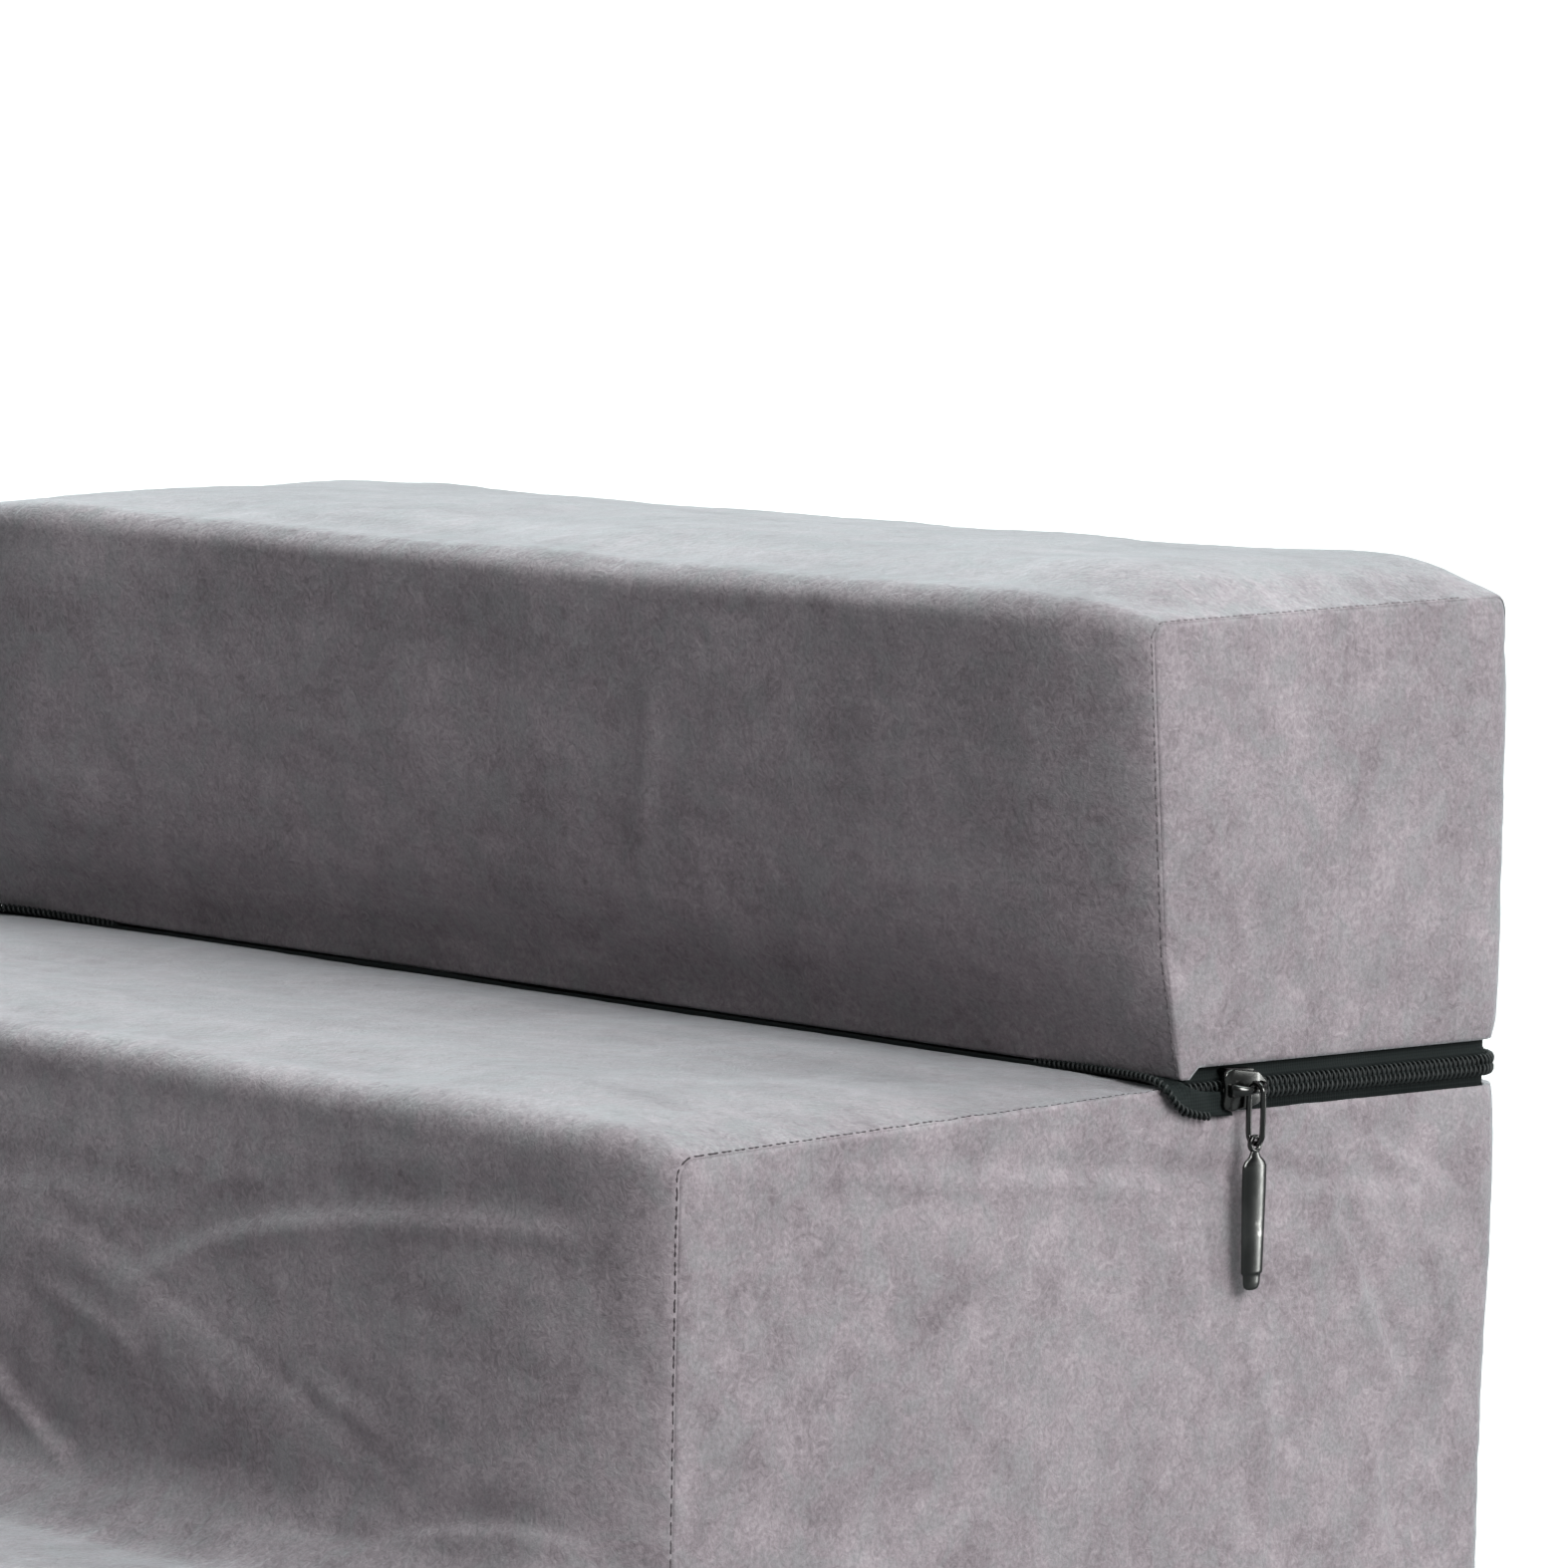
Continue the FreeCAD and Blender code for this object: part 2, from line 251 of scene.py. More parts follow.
def round_loop(corners, n=6):
    """Closed rounded outline, counter-clockwise, from (u, v, radius) corners."""
    out = []
    places = [np.array(c[:2], float) for c in corners]
    for i, (_, _, r) in enumerate(corners):
        centre, start, end = corner_arc(places[i - 1], places[i], places[(i + 1) % len(corners)], r)
        out += arc_points(centre, r, start, end, [k / n for k in range(n + 1)])
    return np.array(out)


def offset(loop, distance):
    """The points of a closed outline, moved inwards."""
    nxt = np.roll(loop, -1, 0)
    tan = unit(nxt - np.roll(loop, 1, 0))
    turn = np.sum(loop[:, 0] * nxt[:, 1] - nxt[:, 0] * loop[:, 1])
    return loop + np.stack([-tan[:, 1], tan[:, 0]], 1) * (distance if turn > 0 else -distance)


def loop_distance(pts, loop):
    """Distance from points to a closed outline."""
    best = np.full(len(pts), 1e9)
    for a, b in zip(loop, np.roll(loop, -1, 0)):
        d = b - a
        ln = d @ d
        if ln < 1e-9:
            continue
        e = pts - a - np.clip(((pts - a) @ d) / ln, 0, 1)[:, None] * d
        best = np.minimum(best, np.hypot(e[:, 0], e[:, 1]))
    return best


def inside(c, loop):
    x, y = c
    a, b = loop, np.roll(loop, -1, 0)
    cross = (a[:, 1] > y) != (b[:, 1] > y)
    with np.errstate(divide="ignore", invalid="ignore"):
        xi = a[:, 0] + (y - a[:, 1]) * (b[:, 0] - a[:, 0]) / (b[:, 1] - a[:, 1])
    return bool(np.sum(cross & (x < xi)) % 2)


# The upright wall is unrolled: p runs from the front along the right side, round
# the back corner and along the back.
ARC = R_PLAN * math.pi / 2
P_CORNER = YB - R_PLAN - YF
P_MID = P_CORNER + ARC + (HW - R_PLAN)  # the middle of the back
P_SEAM = P_MID - SEAM_X
P_HINGE = Y_HINGE - YF


def plan_to_p(x, y):
    """Where a point of the wall's plan lies along the unrolled wall."""
    if y <= YB - R_PLAN:
        return y - YF
    if x >= HW - R_PLAN:
        return P_CORNER + R_PLAN * math.atan2(y - (YB - R_PLAN), x - (HW - R_PLAN))
    return P_CORNER + ARC + (HW - R_PLAN - x)


def p_to_plan(p):
    """Arrays of x, y and the outward normal's x and y."""
    turn = np.clip((p - P_CORNER) / R_PLAN, 0, math.pi / 2)
    nx, ny = np.cos(turn), np.sin(turn)
    x = HW - R_PLAN + R_PLAN * nx - np.maximum(p - P_CORNER - ARC, 0)
    return x, YF + np.minimum(p, P_CORNER) + R_PLAN * ny, nx, ny


def plan_round(p):
    """Rounds the upright back corners: maps the corner's square on to a quarter disc."""
    out = p.copy()
    a = (np.abs(p[:, 0]) - (HW - R_PLAN)) / R_PLAN
    b = (p[:, 1] - (YB - R_PLAN)) / R_PLAN
    corner = (a > 0) & (b > 0)
    a, b = a[corner], b[corner]
    grow = np.maximum(1.0, np.maximum(a, b))
    a, b = a / grow, b / grow
    out[corner, 0] = np.sign(p[corner, 0]) * (HW - R_PLAN + R_PLAN * a * np.sqrt(1 - b ** 2 / 2) * grow)
    out[corner, 1] = YB - R_PLAN + R_PLAN * b * np.sqrt(1 - a ** 2 / 2) * grow
    return out


# ---- meshes
def put(thing, **values):
    for key, value in values.items():
        setattr(thing, key, value)
    return thing


def place(name, data):
    ob = bpy.data.objects.new(name, data)
    bpy.context.scene.collection.objects.link(ob)
    return ob


def flare(p):
    """The upper block's left front corner stands a little out, as the stuffed cover does."""
    p = np.array(p, float)
    x, y, z = p[:, 0], p[:, 1], p[:, 2]
    most, front = 5.0, 85.0
    end = 1 - smoothstep(-HW, -105, x)
    out = between(z, 160, 195, 225, 295) * np.exp(-((y - front) / 40.0) ** 2)
    ahead = smoothstep(202, 238, z) * (1 - 0.3 * smoothstep(260, 300, z))
    ahead *= np.exp(-((y - front) / 30.0) ** 2)
    p[:, 0] -= most * end * out
    p[:, 1] -= most * end * ahead
    return p


def new_mesh(name, verts, faces, body, material, slot):
    me = bpy.data.meshes.new(name)
    me.from_pydata([tuple(v) for v in (flare(verts) * MM)], [], [tuple(map(int, f)) for f in faces])
    me.validate()
    me.update()
    me.materials.append(material)
    me.polygons.foreach_set("use_smooth", [True] * len(me.polygons))
    ob = place(name, me)
    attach(ob, body)
    return ob


def bake(ob):
    """Applies a piece's modifiers."""
    me = bpy.data.meshes.new_from_object(ob.evaluated_get(bpy.context.evaluated_depsgraph_get()))
    ob.modifiers.clear()
    ob.data = me
    return me


def thicken(ob, thickness):
    """Gives a cloth piece its thickness, inwards, with a flat cut edge."""
    put(ob.modifiers.new("thick", "SOLIDIFY"), thickness=thickness * MM, offset=-1.0)
    count = len(ob.data.polygons)
    me = bake(ob)
    me.polygons.foreach_set("use_smooth", np.arange(len(me.polygons)) < 2 * count)


def fix_normals(ob):
    bm = bmesh.new()
    bm.from_mesh(ob.data)
    bmesh.ops.recalc_face_normals(bm, faces=bm.faces)
    bm.to_mesh(ob.data)
    bm.free()
    return ob


def grid_faces(rows, cols):
    a = (np.arange(rows - 1)[:, None] * cols + np.arange(cols - 1)).ravel()
    return np.stack([a, a + 1, a + cols + 1, a + cols], 1)


def ring_faces(rings, sides, start=0, closed=False):
    """Quads between the rings of a tube whose vertices begin at start."""
    faces = []
    for i in range(rings if closed else rings - 1):
        a, b = start + i * sides, start + (i + 1) % rings * sides
        faces += [(a + k, a + (k + 1) % sides, b + (k + 1) % sides, b + k) for k in range(sides)]
    return faces


def end_faces(rings, sides):
    return [tuple(range(sides))[::-1], tuple(range((rings - 1) * sides, rings * sides))]


def loft(rows, closed=False):
    """A skin over rings of points, with flat ends unless the last ring joins the first."""
    n, sides = len(rows), len(rows[0])
    faces = ring_faces(n, sides, closed=closed)
    return np.concatenate(rows), faces if closed else faces + end_faces(n, sides)


def angles(n):
    return np.arange(n) * TAU / n


def frames_along(path):
    """Two directions across a path at each of its points, which turn as little as they can."""
    t = unit(np.gradient(path, axis=0))
    n = np.cross(t[0], [0, 0, 1.0] if abs(t[0][2]) < 0.9 else [1.0, 0, 0])
    out = []
    for d in t:
        n = unit(n - d * (n @ d))
        out.append((n, np.cross(d, n)))
    return out


def tube(path, radius, sides):
    """Vertices and faces of a round tube along a path; radius may be one per point."""
    rings, ring = len(path), angles(sides)
    rows = [p + r * (np.cos(ring)[:, None] * n + np.sin(ring)[:, None] * b)
            for p, r, (n, b) in zip(path, np.broadcast_to(radius, (rings,)), frames_along(path))]
    faces = ring_faces(rings, sides)
    first, last = rings * sides, (rings - 1) * sides
    for k in range(sides):
        faces += [((k + 1) % sides, k, first), (last + k, last + (k + 1) % sides, first + 1)]
    return np.concatenate(rows + [[path[0], path[-1]]]), faces


def join(parts):
    verts, faces, base = [], [], 0
    for v, f in parts:
        verts.append(v)
        faces += [tuple(i + base for i in q) for q in f]
        base += len(v)
    return np.concatenate(verts), faces


def plate(outline, holes, centre, half, bevel, to_points=lambda q: q):
    """A small bevelled plate with holes; to_points maps (u, v, w) rows to points."""
    levels = [(-half, bevel), (-half + 0.3 * bevel, 0.3 * bevel), (-half + bevel, 0.0),
              (half - bevel, 0.0), (half - 0.3 * bevel, 0.3 * bevel), (half, bevel)]
    faces, verts, rings, base = [], [], [], 0
    for loop in [outline] + holes:
        loop, n = np.array(loop, float), len(loop)
        rows = [np.column_stack([offset(loop, -inset if rings else inset), np.full(n, centre + w)])
                for w, inset in levels]
        rings.append((base, rows))
        verts += rows
        faces += ring_faces(len(levels), n, base)
        base += n * len(levels)
    for level in (0, len(levels) - 1):
        pts, ids, cons = [], [], []
        for start, rows in rings:
            n, first = len(rows[0]), len(pts)
            pts += [Vector(q[:2]) for q in rows[level]]
            ids += range(start + level * n, start + (level + 1) * n)
            cons += [(first + i, first + (i + 1) % n) for i in range(n)]
        out = delaunay_2d_cdt(pts, cons, [], 0, 1e-7)
        flat = np.array([tuple(v) for v in out[0]])
        for f in out[2]:
            within = [inside(flat[list(f)].mean(0), rows[level][:, :2]) for _, rows in rings]
            if within[0] and not any(within[1:]):
                faces.append(tuple(ids[out[3][i][0]] for i in f))
    return to_points(np.concatenate(verts)), faces


PHI = np.radians([4, 8, 12, 16, 20, 25, 30, 35, 40, 45, 50, 55, 60, 65, 70, 75, 80, 84, 87, 90])


def strip(name, crest, seam, width, shape, body, step=1.7, tight=20.0):
    """A cover strip across the width: flat in the middle, rolling over to a sewn edge.

    crest and seam are the same profile at mid-width and at the side seams (Y, Z);
    width is how far in from the seam the roll starts, one value for each row.
    shape gives the rise along the normal from the place, the length and the gap to
    the seam. Returns the piece and its grid of points."""
    middle = int(round((2 * HW - 2 * np.max(width)) / step)) + 1
    width = width[:, None]
    edge = HW - width + width * np.sin(PHI)
    x = np.hstack([-edge[:, ::-1], np.linspace(-1, 1, middle) * (HW - width), edge])
    far = 1 - np.sin(PHI)
    near = np.clip(far * width / tight, 0, 1)
    roll = 0.42 * (1 - np.sqrt(np.maximum(1 - (1 - near) ** 2, 0))) + 0.58 * (1 - far) ** 2
    f = np.hstack([roll[:, ::-1], np.zeros((len(crest), middle)), roll])
    grid = np.dstack([x, crest[:, None] + f[:, :, None] * (seam - crest)[:, None]])
    nrm = unit(np.cross(np.gradient(grid, axis=1), np.gradient(grid, axis=0)))
    gap = np.abs(seam - crest).max(1)[:, None] * (1 - f) + (HW - np.abs(x))
    lengths = np.repeat(path_lengths(crest), x.shape[1])
    rise = shape(grid.reshape(-1, 3), lengths, gap.ravel()).reshape(x.shape)
    rise[:, [0, -1]] = 0
    grid = grid + nrm * rise[:, :, None]
    grid[:, :, 0] -= np.sign(x) * groove(gap)
    pts = plan_round(grid.reshape(-1, 3))
    ob = new_mesh(name, pts, grid_faces(*x.shape), body, PLUSH, "cover_plush")
    return ob, pts.reshape(grid.shape)


def wall(name, loop, step, shape, mirror, body):
    """A cover panel on the upright wall, cut to a closed outline in (p, z)."""
    loop = np.array(loop, float)
    lo, hi = loop.min(0) + step / 2, loop.max(0)
    grid = np.array([(x + (0.5 * step if i % 2 else 0), z)
                     for i, z in enumerate(np.arange(lo[1], hi[1], step * 0.9))
                     for x in np.arange(lo[0], hi[0], step)])
    cloud = [loop, grid[loop_distance(grid, loop) > 2.6]]
    for d in NEXT_ROWS:
        row = offset(loop, d)
        cloud.append(row[loop_distance(row, loop) > 0.8 * d])
    edges = [(i, (i + 1) % len(loop)) for i in range(len(loop))]
    out = delaunay_2d_cdt([Vector(q) for q in np.concatenate(cloud)], edges, [], 1, 1e-5)
    flat, faces = np.array([tuple(v) for v in out[0]]), np.array(out[2])
    x, y, nx, ny = p_to_plan(flat[:, 0])
    pts = np.stack([x, y, flat[:, 1]], 1)
    rise = shape(flat[:, 0], flat[:, 1], loop_distance(flat, loop), pts)
    pts[:, 0] += nx * rise
    pts[:, 1] += ny * rise
    if mirror:
        pts[:, 0] *= -1
    # all faces look outwards
    a, b, c = (pts[faces[:, k]] for k in range(3))
    normal, middle = np.cross(b - a, c - a), (a + b + c)[:, 0] / 3
    outward = np.where(np.abs(middle) > HW - 3, normal[:, 0] * np.sign(middle), normal[:, 1])
    faces[outward < 0] = faces[outward < 0][:, ::-1]
    ob = new_mesh(name, pts, faces, body, PLUSH, "cover_plush")
    thicken(ob, CLOTH)
    return ob


# ---- materials
class Nodes:
    """Builds one procedural material around its Principled BSDF."""

    def __init__(self, name):
        self.mat = put(bpy.data.materials.new(name), use_nodes=True)
        self.tree = self.mat.node_tree
        self.shader = self.tree.nodes["Principled BSDF"]
        self.coord = self.tree.nodes.new("ShaderNodeTexCoord").outputs["Object"]

    def feed(self, socket, value):
        """Links an output to a socket, or sets the socket to a number or a colour."""
        if isinstance(value, bpy.types.NodeSocket):
            self.tree.links.new(value, socket)
        else:
            socket.default_value = (*value, 1.0) if socket.type == "RGBA" else value

    def node(self, kind, inputs, **settings):
        n = put(self.tree.nodes.new("ShaderNode" + kind), **settings)
        for key, value in inputs.items():
            self.feed(n.inputs[key], value)
        return n

    def noise(self, scale, detail=3.0, rough=0.55, distort=0.0, stretch=None):
        at = self.coord
        if stretch:
            at = self.node("Mapping", {"Scale": stretch, "Vector": at}).outputs[0]
        return self.node("TexNoise", {"Scale": scale, "Detail": detail, "Roughness": rough,
                                      "Distortion": distort, "Vector": at}).outputs["Fac"]

    def ramp(self, fac, low, high):
        """Two stops: (place, colour or grey)."""
        n = self.node("ValToRGB", {"Fac": fac})
        for stop, (at, col) in zip(n.color_ramp.elements, (low, high)):
            put(stop, position=at, color=(*col, 1.0) if isinstance(col, tuple) else (col, col, col, 1.0))
        return n.outputs["Color"]

    def math(self, op, a, b):
        return self.node("Math", {0: a, 1: b}, operation=op).outputs[0]

    def plus(self, base, extra, share):
        """base + extra * share"""
        return self.math("ADD", base, self.math("MULTIPLY", extra, share))

    def mix(self, fac, a, b, blend="MIX"):
        return self.node("Mix", {0: fac, 6: a, 7: b}, data_type="RGBA", blend_type=blend).outputs[2]

    def bump(self, height, distance, strength):
        inputs = {"Strength": strength, "Distance": distance, "Height": height}
        return self.node("Bump", inputs).outputs["Normal"]

    def done(self, color, rough, normal=None, extra=()):
        sockets = {"Base Color": color, "Roughness": rough, **dict(extra)}
        if normal:
            sockets["Normal"] = normal
        for key, value in sockets.items():
            self.feed(self.shader.inputs[key], value)
        return self.mat


def plush(name, dark, light, cool):
    """Brushed micro-suede: short nap that lies in patches and strokes."""
    m = Nodes(name)
    fine = m.noise(1100.0, 3.0, 0.65)
    mottle = m.noise(360.0, 5.0, 0.68, 1.6)
    patch = m.noise(34.0, 5.0, 0.62, 0.9)
    nap = m.noise(70.0, 4.0, 0.62, stretch=(0.14, 1.0, 1.0))
    col = m.ramp(mottle, (0.35, dark), (0.65, light))
    col = m.mix(0.42, col, m.ramp(patch, (0.36, dark), (0.64, light)))
    col = m.mix(0.30, col, m.ramp(nap, (0.34, dark), (0.66, light)))
    bloom = m.ramp(m.noise(110.0, 4.0, 0.65, 0.8), (0.45, 0.0), (0.66, 1.0))
    col = m.mix(m.math("MULTIPLY", bloom, 0.65), col, cool)
    col = m.mix(0.9, col, m.ramp(fine, (0.32, 0.74), (0.68, 1.04)), "MULTIPLY")
    sheen = {"Sheen Weight": 0.75, "Sheen Roughness": 0.32, "Sheen Tint": (0.88, 0.97, 1.0),
             "Specular IOR Level": 0.35}
    return m.done(col, m.plus(0.82, mottle, 0.16), m.bump(m.plus(mottle, fine, 0.5), 0.0003, 0.8), sheen)


def foam_material():
    m = Nodes("foam_open_cell")
    cell = m.node("TexVoronoi", {"Scale": 620.0, "Vector": m.coord}).outputs["Distance"]
    tone = m.ramp(m.noise(14.0), (0.3, (0.36, 0.35, 0.33)), (0.7, (0.42, 0.41, 0.39)))
    col = m.mix(0.5, tone, m.ramp(cell, (0.05, 0.45), (0.5, 1.0)), "MULTIPLY")
    return m.done(col, m.plus(0.86, m.noise(300.0), 0.1), m.bump(cell, 0.0006, 0.7))


def woven(name, dark, light, pitch, depth, rough=0.75):
    """Fine plain weave, the same on every side of a piece."""
    m = Nodes(name)
    yarn = [m.node("TexWave", {"Scale": 0.314 / pitch, "Distortion": 0.6, "Detail": 1.0, "Vector": m.coord},
                   bands_direction=axis).outputs["Fac"] for axis in "XYZ"]
    weave = m.math("MULTIPLY", m.math("ADD", m.math("ADD", yarn[0], yarn[1]), yarn[2]), 0.33)
    fuzz = m.noise(900.0)
    both = m.plus(m.math("MULTIPLY", weave, 0.7), fuzz, 0.3)
    col = m.ramp(both, (0.2, dark), (0.8, light))
    col = m.mix(0.4, col, m.ramp(m.noise(40.0), (0.3, dark), (0.7, light)))
    return m.done(col, m.plus(rough, fuzz, 0.15), m.bump(both, depth, 0.8), {"Specular IOR Level": 0.12})


def coil_material():
    m = Nodes("coil_nylon")
    col = m.ramp(m.noise(420.0), (0.3, (0.006, 0.009, 0.009)), (0.7, (0.018, 0.024, 0.023)))
    return m.done(col, m.plus(0.48, m.noise(800.0), 0.2), m.bump(m.noise(2600.0, 2.0), 0.00004, 0.5))


def metal_material():
    """Blackened plating, polished bare along rubbed places."""
    m = Nodes("plated_metal")
    worn = m.noise(140.0, 4.0, 0.6)
    plating = m.ramp(worn, (0.35, (0.065, 0.067, 0.064)), (0.62, (0.10, 0.102, 0.098)))
    bare = plating.node.color_ramp.elements.new(0.75)
    bare.color = (0.30, 0.30, 0.285, 1.0)
    return m.done(plating, m.plus(0.12, m.noise(300.0), 0.16), m.bump(m.noise(900.0), 0.00001, 0.3),
                  {"Metallic": 1.0})


PLUSH = plush("cover_suede", (0.190, 0.163, 0.177), (0.492, 0.439, 0.465), (0.318, 0.318, 0.326))
FOAM = foam_material()
TAPE = woven("zip_tape_weave", (0.007, 0.010, 0.010), (0.022, 0.028, 0.027), 0.0007, 0.0002)
BOTTOM = woven("bottom_cloth_weave", (0.035, 0.034, 0.036), (0.075, 0.073, 0.078), 0.0012, 0.0002)
DOTS = woven("grip_dots", (0.028, 0.028, 0.030), (0.050, 0.050, 0.054), 0.0030, 0.00006, 0.5)
COIL = coil_material()
METAL = metal_material()
THREAD = woven("seam_thread", (0.045, 0.038, 0.042), (0.09, 0.08, 0.085), 0.0005, 0.0001)
THREAD_PALE = woven("seam_thread_pale", (0.13, 0.115, 0.122), (0.24, 0.22, 0.23), 0.0005, 0.0001)


# ---- simulated cloth
class Relief:
    """Cloth simulation of one closed cover, kept as the wrinkles it leaves on each panel.

    The side outline (Y, Z) is drawn across the width, remeshed and blown up against
    its sewn edges with a little spare cloth; the broad swelling is taken off again,
    since the crowns of the panels are given one by one."""

    def __init__(self, name, outline, seed, voxel=6.0, spare=0.022, frames=20):
        self.tree = None
        n = len(outline)
        drawn = bpy.data.meshes.new(name)
        drawn.from_pydata([(x * MM, y * MM, z * MM) for x in (-HW, HW) for y, z in outline], [],
                          ring_faces(2, n) + end_faces(2, n))
        ob = place(name, drawn)
        put(ob.modifiers.new("voxels", "REMESH"), mode="VOXEL", voxel_size=voxel * MM)
        cut = bake(ob)
        at, nrm = self.read(cut, "co") / MM, self.read(cut, "normal")
        gap = loop_distance(at[:, 1:], np.array(outline, float))
        sewn = (HW - np.abs(at[:, 0]) < 0.75 * voxel) & (gap < 0.75 * voxel)
        sewn |= at[:, 2] < at[:, 2].min() + 1.5
        ob.vertex_groups.new(name="sewn").add([int(i) for i in np.nonzero(sewn)[0]], 1.0, "REPLACE")
        start = at + nrm * (0.5 * waves(at, 38.0, 20, seed) * ~sewn)[:, None]
        cut.vertices.foreach_set("co", (start * MM).ravel())
        cloth = ob.modifiers.new("cover", "CLOTH")
        put(cloth.settings, quality=4, mass=0.3, tension_stiffness=15.0, compression_stiffness=15.0,
            shear_stiffness=5.0, bending_stiffness=1.2, use_pressure=True, uniform_pressure_force=2.0,
            shrink_min=-spare, shrink_max=-spare, vertex_group_mass="sewn")
        cloth.settings.effector_weights.gravity = 0.0
        put(cloth.point_cache, frame_start=1, frame_end=frames)
        for k in range(1, frames + 1):
            bpy.context.scene.frame_set(k)
        held = bake(ob)
        rise = ((self.read(held, "co") / MM - at) * nrm).sum(1)
        ends = np.empty(len(cut.edges) * 2, int)
        cut.edges.foreach_get("vertices", ends)
        fine = self.smooth(rise, ends, 2)
        self.rise = fine - self.smooth(rise, ends, 70)
        self.rise *= 1.0 / max(float(np.std(self.rise)), 1e-6)
        self.tree = KDTree(len(at))
        for k, v in enumerate(at):
            self.tree.insert(v, k)
        self.tree.balance()
        bpy.context.scene.frame_set(1)
        bpy.data.objects.remove(ob)
        for mesh in (drawn, cut, held):
            bpy.data.meshes.remove(mesh)

    @staticmethod
    def read(mesh, what):
        out = np.empty(len(mesh.vertices) * 3)
        mesh.vertices.foreach_get(what, out)
        return out.reshape(-1, 3)

    @staticmethod
    def smooth(v, ends, rounds):
        """Averages values with those of their neighbours along the mesh's edges."""
        i, j = ends[::2], ends[1::2]
        count = np.bincount(ends, minlength=len(v)).astype(float)
        for _ in range(rounds):
            v = 0.5 * v + 0.5 * (np.bincount(i, v[j], len(v)) + np.bincount(j, v[i], len(v))) / count
        return v

    def at(self, pts, cap=2.2):
        """Wrinkle height at points, in standard deviations, capped."""
        out = np.zeros(len(pts))
        if self.tree is None:
            return out
        for q, v in enumerate(pts):
            top = bottom = 0.0
            for _, k, d in self.tree.find_n(v, 7):
                w = math.exp(-(d / 4.0) ** 2) + 1e-9
                top += w * self.rise[k]
                bottom += w
            out[q] = top / bottom
        return np.clip(out, -cap, cap)


LEAN = Y_HINGE - OVERHANG
BASE_CLOTH = Relief("base_cloth_form", [(YF, 2), (YF, Z1), (Y_MID, Z1), (Y_MID, Z2), (YB, Z2), (YB, 2)], 71)
TOP_CLOTH = Relief("top_cloth_form", [(Y_HINGE, Z2 + 2), (LEAN, Z3), (YB, Z3), (YB, Z2 + 2)], 72)

# ---- cover strips
# Creases the cloth has taken: points, half width, height, and valley share. The
# points are (X, Z) on upright faces, (X, Y) on treads and (Y, Z) on the sides.
RISER_FOLDS = [
    ([(-16, 136), (6, 122), (28, 109)], 4.0, 1.5, 0.7),
    ([(33, 151), (66, 167), (97, 173), (127, 177), (173, 179)], 4.5, 1.9, 0.8),
    ([(10, 151), (28, 146), (47, 140)], 3.5, 0.9, 0.6),
    ([(96, 141), (108, 138), (121, 134)], 3.5, 0.9, 0.6),
    ([(116, 107), (150, 118.5), (181, 118)], 4.0, 1.1, 0.6),
    ([(-20, 169), (50, 169.5)], 4.0, 0.7, 0.5),
    ([(-10, 166), (40, 148), (128, 116)], 15.0, 1.5, 0.3),
    ([(-150, 160), (-120, 148), (-84, 143)], 5.0, 0.9, 0.6),
    ([(-165, 128), (-130, 120), (-90, 124), (-60, 118)], 5.0, 0.9, 0.5),
    ([(-70, 175), (-60, 155), (-62, 132)], 4.5, 0.8, 0.5)]
TREAD_FOLDS = [
    ([(-150, 10), (-60, 26), (10, 20)], 6.0, 0.5, 0.5),
    ([(30, 40), (90, 52), (150, 44)], 6.0, 0.5, 0.5)]
LOW_FOLDS = [
    ([(-150, 62), (-90, 48), (-30, 50)], 6.0, 0.8, 0.5),
    ([(20, 36), (70, 52), (140, 50)], 6.0, 0.8, 0.5)]
LOW_TREAD_FOLDS = [([(-140, -120), (-20, -108), (120, -122)], 7.0, 0.5, 0.5)]
FACE_FOLDS = [
    ([(51, 276), (46, 252), (40, 229)], 5.0, 0.7, 0.6),
    ([(-120, 262), (-70, 252), (-20, 256)], 7.0, 0.5, 0.5),
    ([(92, 232), (130, 240), (172, 236)], 6.0, 0.5, 0.5)]
TOP_FOLDS = [([(-120, 130), (-10, 142), (110, 132)], 9.0, 0.5, 0.4)]
SIDE_FOLDS = [
    ([(-46, 194), (53, 183), (176, 171)], 2.9, 1.25, 0.9),
    ([(119, 195), (148, 183.5), (180, 170)], 3.2, 1.1, 0.8),
    ([(133, 176), (144, 153), (158, 129)], 3.4, 1.3, 0.8),
    ([(147, 123), (155, 93)], 4.5, 1.2, 0.7),
    ([(112, 150), (118, 120), (112, 84)], 5.0, 1.0, 0.6),
    ([(-165, 78), (-120, 64), (-60, 70)], 6.0, 0.8, 0.5),
    ([(-20, 120), (30, 96), (60, 60)], 6.0, 0.9, 0.5)]
BACK_FOLDS = [
    ([(-150, 150), (-60, 138), (20, 146)], 6.0, 1.0, 0.6),
    ([(30, 90), (90, 104), (150, 96)], 6.0, 0.9, 0.6),
    ([(-120, 60), (-60, 48), (10, 52)], 6.0, 0.8, 0.6),
    ([(-110, 262), (-20, 250), (80, 256)], 7.0, 0.8, 0.5)]


def profile(corners, seam_corners, step=1.6, arc_step=1.2):
    """The two edges of half a strip, with the same number of points on each run."""
    runs, counts = rounded_path(corners), []
    for p, q, arc in runs:
        length = np.linalg.norm(q - p)
        counts.append(max(5, round(length * 1.11 / arc_step)) if arc else max(2, round(length / step)))
    return sample_runs(runs, counts), sample_runs(rounded_path(seam_corners), counts)


def row_width(crest, flat_w, face_w):
    """How far in from the seam the roll starts, for each row: one width on treads, one on faces."""
    w = face_w + (flat_w - face_w) * np.abs(unit(np.gradient(crest, axis=0))[:, 0])
    for _ in range(12):
        w[1:-1] = 0.25 * w[:-2] + 0.5 * w[1:-1] + 0.25 * w[2:]
    return w


